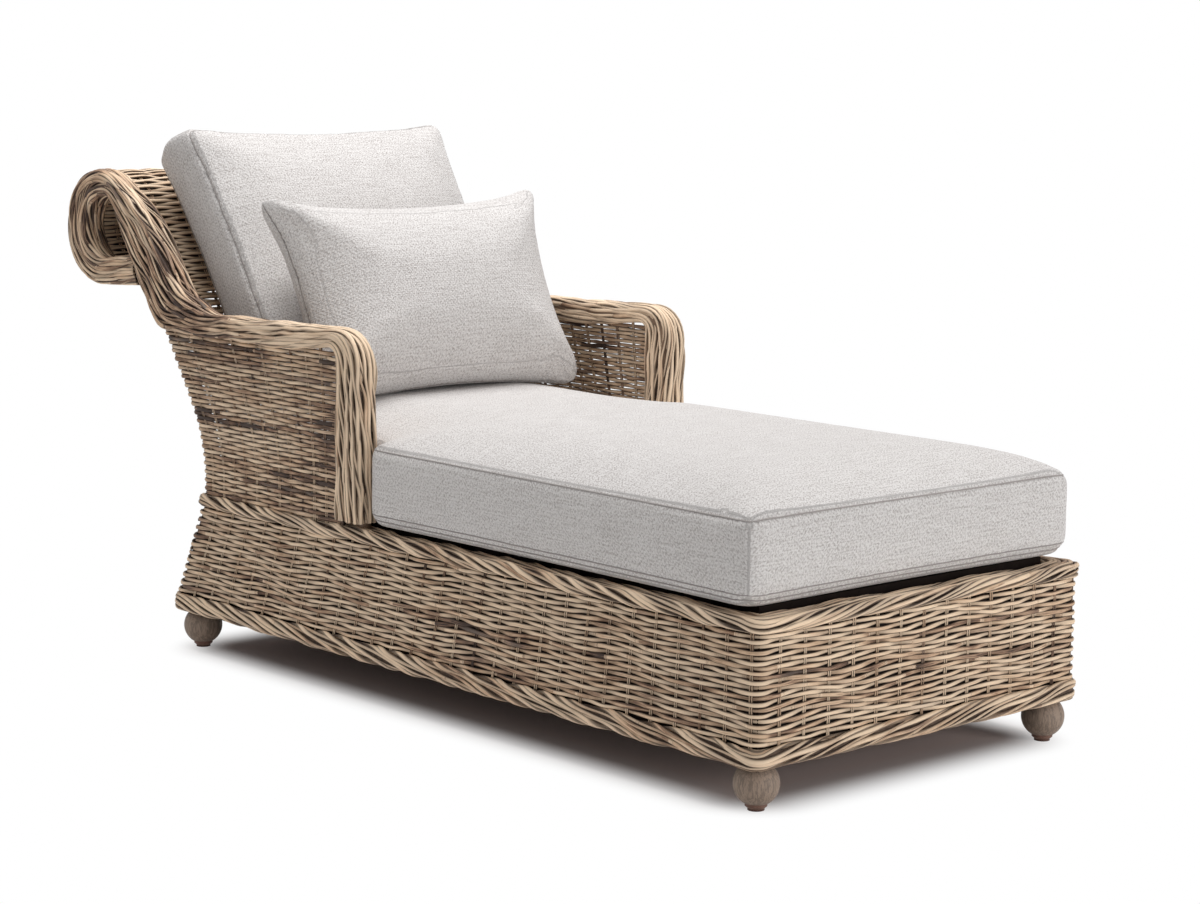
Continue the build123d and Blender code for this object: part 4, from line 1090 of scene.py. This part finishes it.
class Finish:
    """A material, or the world, under construction."""

    def __init__(self, name, owner=None):
        self.owner = owner or bpy.data.materials.new(f"{name}_finish")
        self.owner.use_nodes = True
        self.tree = self.owner.node_tree
        self.tree.nodes.clear()

    def node(self, kind, settings, inputs):
        """Adds a node: its settings first, then its sockets, each a value or a link."""
        made = self.tree.nodes.new(kind)
        for label, value in settings.items():
            if label == "stops":
                ramp = made.color_ramp
                while len(ramp.elements) < len(value):
                    ramp.elements.new(0.5)
                for element, (place, colour) in zip(ramp.elements, value):
                    element.position = place
                    element.color = (*colour, 1.0)
            else:
                setattr(made, label, value)
        for label, value in inputs.items():
            socket = made.inputs[label]
            if isinstance(value, Value):
                self.tree.links.new(value.socket, socket)
            elif isinstance(value, bpy.types.NodeSocket):
                self.tree.links.new(value, socket)
            elif socket.type == "RGBA":
                socket.default_value = (*value, 1.0)
            else:
                socket.default_value = value
        return made

    def value(self, kind, settings, inputs, output=0):
        """Adds a node and gives one of its number outputs."""
        return Value(self, self.node(kind, settings, inputs).outputs[output])

    def attribute(self, name):
        """A number kept on the mesh."""
        return self.value("ShaderNodeAttribute", {"attribute_name": name}, {}, "Fac")

    def place(self):
        """Place in the object's own space."""
        return self.node("ShaderNodeTexCoord", {}, {}).outputs["Object"]

    def part(self, axis):
        """One coordinate of the place: 0, 1 or 2."""
        return self.value("ShaderNodeSeparateXYZ", {}, {0: self.place()}, axis)

    def join(self, x, y, z):
        """A vector of three numbers."""
        return self.node("ShaderNodeCombineXYZ", {}, {0: x, 1: y, 2: z}).outputs[0]

    def noise(self, vector, scale, detail=2.0, rough=0.5):
        """Noise between 0 and 1."""
        return self.value("ShaderNodeTexNoise", {"noise_dimensions": "3D"},
                          {"Vector": vector, "Scale": scale, "Detail": detail, "Roughness": rough})

    def ramp(self, factor, stops):
        """Colour from a number."""
        return self.node("ShaderNodeValToRGB", {"stops": stops}, {0: factor}).outputs[0]

    def blend(self, factor, first, second):
        """Two colours mixed by a number."""
        return self.node("ShaderNodeMix", {"data_type": "RGBA"},
                         {0: factor, 6: first, 7: second}).outputs[2]

    def between(self, value, low, high):
        """0 below low, 1 above high, and 3t² - 2t³ between them."""
        return self.value("ShaderNodeMapRange", {"interpolation_type": "SMOOTHSTEP"},
                          {"Value": value, "From Min": low, "From Max": high})

    def bump(self, height, distance, strength):
        """Normal from a height."""
        return self.node("ShaderNodeBump", {}, {"Height": height, "Distance": distance,
                                                "Strength": strength}).outputs[0]

    def seen(self):
        """1 for a ray from the camera, a gloss or through glass, and 0 for a lighting ray."""
        rays = self.node("ShaderNodeLightPath", {}, {}).outputs
        camera, gloss, glass = (Value(self, rays[f"Is {kind} Ray"])
                                for kind in ("Camera", "Glossy", "Transmission"))
        return (camera + gloss + glass).limited()

    def surface(self, **sockets):
        """The shader and the output."""
        inputs = {label.replace("_", " "): value for label, value in sockets.items()}
        shader = self.node("ShaderNodeBsdfPrincipled", {}, inputs)
        self.node("ShaderNodeOutputMaterial", {}, {"Surface": shader.outputs[0]})
        return self.owner


def rattan(name="rattan", shade=0.0, gloom=1.0, rear_shade=None):
    """Unvarnished rattan: each strand has its own tone, with stains in patches, streaks along it and
    a grey bloom. A positive shade is paler, a negative one browner, and gloom is how dark the painted
    shade in the creases and recesses is. Where a rear shade is given, shade turns into it and gloom
    into 1 from the arms' middle to the back. The colour darkens towards dark rattan near each strand's
    edges and where the strand lies deep in the weave: painted shade in the creases between rows and in
    the recesses."""
    colours = bpy.context.scene.lounger_colours
    m = Finish(name)
    if rear_shade is not None:
        rear = m.between(m.part(1), 0.10, 0.60)
        shade = shade + rear * (rear_shade - shade)
        gloom = gloom + rear * (1.0 - gloom)
    along, strand, deep, edge = (m.attribute(layer) for layer in Strands.LAYERS)
    own = m.noise(m.join(strand * 31.7, strand * 17.3, 0.0), 1.0, 0.0)
    streak = m.noise(m.join(along * 12.0, edge * 1.5, strand * 53.0), 1.0, 3.0, 0.6)
    fine = m.noise(m.join(along * 45.0, edge * 5.0, strand * 71.0), 1.0, 3.0, 0.65)
    patch = m.noise(m.place(), 6.5, 3.0, 0.6)
    tone = ((shade + 0.80) + (own - 0.5) * 2.3 + (streak - 0.5) * 1.6 + (patch - 0.5) * 1.7
            + (fine - 0.5) * 0.9)
    base = m.ramp(tone.limited(), [(0.0, colours.rattan_dark), (0.24, colours.rattan_brown),
                                   (0.52, colours.rattan_tan), (0.95, colours.rattan_pale)])
    bloom = m.noise(m.join(along * 5.0, strand * 23.0, 4.0), 1.0, 2.0)
    base = m.blend(((bloom - 0.5) * 4.0).limited() * 0.34, base, colours.rattan_grey)
    # Painted shade: darker towards each strand's edges, in the creases between rows, and where it lies
    # deep behind stakes or neighbours.
    crease_shade = ((edge - 0.34) * 2.1).limited()
    shadow = ((crease_shade * crease_shade * 0.86 + deep * 0.36) * gloom).limited()
    return m.surface(Base_Color=m.blend(shadow, base, colours.rattan_dark),
                     Roughness=0.60 + (fine - 0.5) * 0.3,
                     Normal=m.bump(fine * 0.6 + streak * 0.4, 0.0009, 0.7), Specular_IOR_Level=0.3)


def fabric():
    """Woven cover: light and dark threads cross in a twill, with slubs along both and a soft fuzz."""
    colours = bpy.context.scene.lounger_colours
    m = Finish("fabric")
    across, up = m.attribute("across"), m.attribute("up")
    thread = tau / 0.0040
    twill = ((across + up) * thread * 0.5).wave() * 0.5 + 0.5
    weft = (up * thread).wave() * 0.5 + 0.5
    warp = (across * thread).wave() * 0.5 + 0.5
    slub = m.noise(m.join(across * 14.0, up * 420.0, 0.0), 1.0, 3.0, 0.6)
    slub_up = m.noise(m.join(across * 380.0, up * 20.0, 7.0), 1.0, 2.0, 0.6)
    heather = m.noise(m.join(across * 900.0, up * 900.0, 3.0), 1.0, 2.0, 0.6)
    speckle = m.noise(m.join((across + up) * 170.0, (across - up) * 290.0, 5.0), 1.0, 1.0, 0.5)
    cloud = m.noise(m.place(), 7.0, 3.0)
    dark = (0.20 + (slub - 0.5) * 1.5 + (slub_up - 0.5) * 0.8 + (heather - 0.5) * 1.1
            + (1.0 - twill) * 0.20 + (speckle - 0.5) * 3.0 + (cloud - 0.5) * 0.12)
    height = twill * 0.3 + weft * warp * 0.4 + slub * 0.5 + heather * 0.3 + speckle * 0.9
    return m.surface(Base_Color=m.blend(dark.limited(), colours.fabric, colours.fabric_dark),
                     Roughness=0.88, Normal=m.bump(height, 0.0010, 0.75), Sheen_Weight=0.15,
                     Sheen_Roughness=0.5, Specular_IOR_Level=0.25)


def mottled(name, scale, first, second, rough, detail=2.0, coarse=0.5, steep=1.0, relief=0.0,
            vary=0.0, **sockets):
    """Two colours mixed by noise: steep sharpens the mix, and roughness and relief follow the noise
    where asked."""
    m = Finish(name)
    grain = m.noise(m.place(), scale, detail, coarse)
    if relief:
        sockets["Normal"] = m.bump(grain, relief, 0.4)
    if vary:
        rough = rough + (grain - 0.5) * vary
    return m.surface(Base_Color=m.blend(((grain - 0.5) * steep + 0.5).limited(), first, second),
                     Roughness=rough, **sockets)


def seam():
    """Sewn edge, darker than the cover: the dark colour is painted shade along the seam line."""
    dark = bpy.context.scene.lounger_colours.fabric_dark
    return mottled("seam", 900.0, dark, tuple(0.65 * channel for channel in dark), 0.9)


def timber(name, colour, ring_scale, stretch, contrast):
    """Wood grain: bands of growth rings warped by noise, stretched along the piece, with pores."""
    m = Finish(name)
    spread = m.node("ShaderNodeMapping", {}, {"Vector": m.place(), "Scale": stretch}).outputs[0]
    warp = m.noise(spread, 3.0, 4.0, 0.6)
    bands = (warp * ring_scale).wave() * 0.5 + 0.5
    pores = m.noise(spread, 24.0, 4.0, 0.7)
    dark = tuple(channel * contrast for channel in colour)
    return m, m.blend((bands * 0.45 + pores * 0.6).limited(), colour, dark), pores


def foot_wood():
    """Turned foot: weathered grain, and a darker reddish ring at the bottom."""
    m, base, pores = timber("foot_wood", bpy.context.scene.lounger_colours.foot_wood,
                            ring_scale=26.0, stretch=(46.0, 46.0, 9.0), contrast=0.32)
    ring = ((0.0125 - m.part(2)) * 900.0).limited()
    return m.surface(Base_Color=m.blend(ring * 0.8, base, (0.16, 0.07, 0.045)), Roughness=0.6,
                     Normal=m.bump(pores, 0.0006, 0.6))


def frame_wood():
    """Timber of the frame, with grain, darkened nearly black: painted shade, so that rails seen
    through the weave look like the dark inside.
    """
    m, base, pores = timber("frame_wood", bpy.context.scene.lounger_colours.frame_wood,
                            ring_scale=30.0, stretch=(9.0, 1.2, 9.0), contrast=0.5)
    return m.surface(Base_Color=base, Roughness=0.85, Normal=m.bump(pores, 0.0004, 0.5),
                     Specular_IOR_Level=0.1)


MAKERS = {
    "rattan": rattan,
    "rattan_border": lambda: rattan("rattan_border", shade=0.12, gloom=0.85),
    "rattan_arm": lambda: rattan("rattan_arm", shade=-0.34),
    "rattan_braid": lambda: rattan("rattan_braid", shade=0.26, gloom=0.70, rear_shade=-0.42),
    # Near-black finish of the sheets behind the weave: painted shade for the dark inside.
    "core": lambda: mottled("core", 60.0, (0.008, 0.005, 0.004), (0.022, 0.013, 0.010), 0.9,
                            steep=2.5),
    "packing": lambda: mottled("packing", 90.0, (0.05, 0.032, 0.024), (0.16, 0.105, 0.075), 0.9,
                               detail=3.0, steep=2.5),
    "rattan_pole": lambda: mottled("rattan_pole", 14.0, (0.30, 0.19, 0.115), (0.12, 0.07, 0.045),
                                   0.55, detail=4.0, coarse=0.6, relief=0.0005),
    "steel": lambda: mottled("steel", 300.0, (0.52, 0.52, 0.54), (0.34, 0.34, 0.36), 0.36,
                             vary=0.2, Metallic=1.0),
    "glide": lambda: mottled("glide", 160.0, (0.10, 0.045, 0.03), (0.06, 0.028, 0.02), 0.75),
    "fabric": fabric, "seam": seam, "foot_wood": foot_wood, "frame_wood": frame_wood,
}


def finish(name):
    """The material of that name, made at its first use."""
    return bpy.data.materials.get(f"{name}_finish") or MAKERS[name]()


class LOUNGER_OT_frame_finish(Operator):
    """Give the frame's own pieces their wood, pole, steel and glide finishes"""

    bl_idname = "lounger.frame_finish"
    bl_label = "Frame finishes"

    def execute(self, context):
        slots = {part["node"]: part["material_slot"] for part in frame["record"]["subparts"]}
        for node, piece in frame["nodes"].items():
            if not piece.hide_render:
                for place in piece.material_slots:
                    place.material = finish(slots[node])
        return {"FINISHED"}


def floor_finish():
    """Pale floor that keeps the shadow, with painted warm shade under and near the base that fades out
    over 0.16 m, and turns plain white for the camera away from the lounger: white = 3t² - 2t³ of the
    distance from a box round the base."""
    m = Finish("floor")
    grain = m.noise(m.place(), 3.0, 2.0)
    over = []
    for axis, shift, half in ((0, 0.0, 0.27), (1, 0.16, 0.66)):
        place = m.part(axis) + shift
        beyond = place.math("ABSOLUTE", place) - half
        over.append(beyond.math("MAXIMUM", beyond, 0.0))
    far = m.value("ShaderNodeVectorMath", {"operation": "LENGTH"}, {0: m.join(*over, 0.0)}, 1)
    white = m.between(far, 0.03, 0.16)
    # Painted warm shade: the floor is tinted brownish under the base, fading to grey-white 0.16 m out.
    warm_shade_fade = m.value("ShaderNodeMapRange", {}, {"Value": far, "From Min": 0.0, "From Max": 0.16})
    pale = m.node("ShaderNodeBsdfDiffuse", {}, {"Color": m.blend(
        warm_shade_fade, (0.98, 0.78, 0.72), m.blend(grain, (0.94, 0.94, 0.94), (0.93, 0.93, 0.93)))})
    glow = m.node("ShaderNodeEmission", {}, {"Color": (1.0, 1.0, 1.0), "Strength": 1.0})
    mixed = m.node("ShaderNodeMixShader", {}, {0: white * m.seen(), 1: pale.outputs[0],
                                               2: glow.outputs[0]})
    m.node("ShaderNodeOutputMaterial", {}, {"Surface": mixed.outputs[0]})
    return m.owner


# Stage
class LOUNGER_OT_stage(Operator):
    """Add the floor, the lights and the camera"""

    bl_idname = "lounger.stage"
    bl_label = "Stage"

    def area(self, name, place, size, power):
        """Square lamp aimed at the lounger."""
        lamp = bpy.data.lights.new(name, "AREA")
        lamp.shape = "SQUARE"
        lamp.size = size
        lamp.energy = power
        holder = linked(name, lamp)
        holder.location = place
        x, y, z = np.array([0.0, -0.1, 0.3]) - place
        holder.rotation_euler = (acos(-z / sqrt(x * x + y * y + z * z)), 0.0, atan2(y, x) - pi / 2)

    def camera(self):
        """Camera at the photograph's place, with its roll."""
        camera = bpy.data.cameras.new("camera")
        camera.sensor_width = 36.0
        camera.lens = 84.92
        holder = linked("camera", camera)
        forward = unit(np.array([0.66004, 0.73667, -0.14717]))
        right = unit(np.cross(forward, [0.0, 0.0, 1.0]))
        roll = radians(0.62)
        right = right * cos(roll) + np.cross(right, forward) * sin(roll)
        place = np.eye(4)
        place[:3, :3] = np.stack([right, np.cross(right, forward), -forward], axis=-1)
        place[:3, 3] = (-3.24684, -3.79583, 1.14736)
        holder.matrix_world = Matrix(place.tolist())
        bpy.context.scene.camera = holder

    def execute(self, context):
        scene = context.scene
        mesh = bpy.data.meshes.new("floor")
        half = 14.0
        mesh.from_pydata([(-half, -half, 0), (half, -half, 0), (half, half, 0), (-half, half, 0)], [],
                         [(0, 1, 2, 3)])
        mesh.materials.append(floor_finish())
        linked("floor", mesh)
        self.area("key", place=(0.15, 0.45, 3.9), size=2.6, power=125.0)
        self.area("fill", place=(1.2, -4.6, 0.75), size=1.8, power=62.0)
        scene.world = bpy.data.worlds.new("studio")
        m = Finish("studio", scene.world)
        level = m.value("ShaderNodeMapRange", {}, {"Value": m.seen(), "To Min": 0.34, "To Max": 1.0})
        back = m.node("ShaderNodeBackground", {}, {"Color": (1.0, 1.0, 1.0), "Strength": level})
        m.node("ShaderNodeOutputWorld", {}, {"Surface": back.outputs[0]})
        self.camera()
        scene.view_settings.view_transform = "Standard"
        return {"FINISHED"}


class LOUNGER_PT_panel(Panel):
    """Buttons for each group of pieces"""

    bl_label = "Rattan lounger"
    bl_idname = "LOUNGER_PT_panel"
    bl_space_type = "VIEW_3D"
    bl_region_type = "UI"
    bl_category = "Lounger"

    def draw(self, context):
        for group in (context.scene.lounger_sizes, context.scene.lounger_colours):
            for name in group.bl_rna.properties.keys():
                if name not in ("rna_type", "name"):
                    self.layout.prop(group, name)
        for step in STEPS:
            self.layout.operator(step.bl_idname)


STEPS = (
    LOUNGER_OT_base_weave,
    LOUNGER_OT_borders,
    LOUNGER_OT_arm_weave,
    LOUNGER_OT_back_weave,
    LOUNGER_OT_braids,
    LOUNGER_OT_seat_cushion,
    LOUNGER_OT_back_cushion,
    LOUNGER_OT_lumbar_pillow,
    LOUNGER_OT_frame_finish,
    LOUNGER_OT_stage,
)
CLASSES = (LoungerSizes, LoungerColours, *STEPS, LOUNGER_PT_panel)


def register():
    """Makes the classes and their properties known."""
    for kind in CLASSES:
        bpy.utils.register_class(kind)
    bpy.types.Scene.lounger_sizes = PointerProperty(type=LoungerSizes)
    bpy.types.Scene.lounger_colours = PointerProperty(type=LoungerColours)


def unregister():
    """Takes them away again."""
    del bpy.types.Scene.lounger_colours
    del bpy.types.Scene.lounger_sizes
    for kind in reversed(CLASSES):
        bpy.utils.unregister_class(kind)


def main():
    """Makes every piece in turn."""
    register()
    for step in STEPS:
        group, name = step.bl_idname.split(".")
        getattr(getattr(bpy.ops, group), name)()


if __name__ == "__main__":
    main()
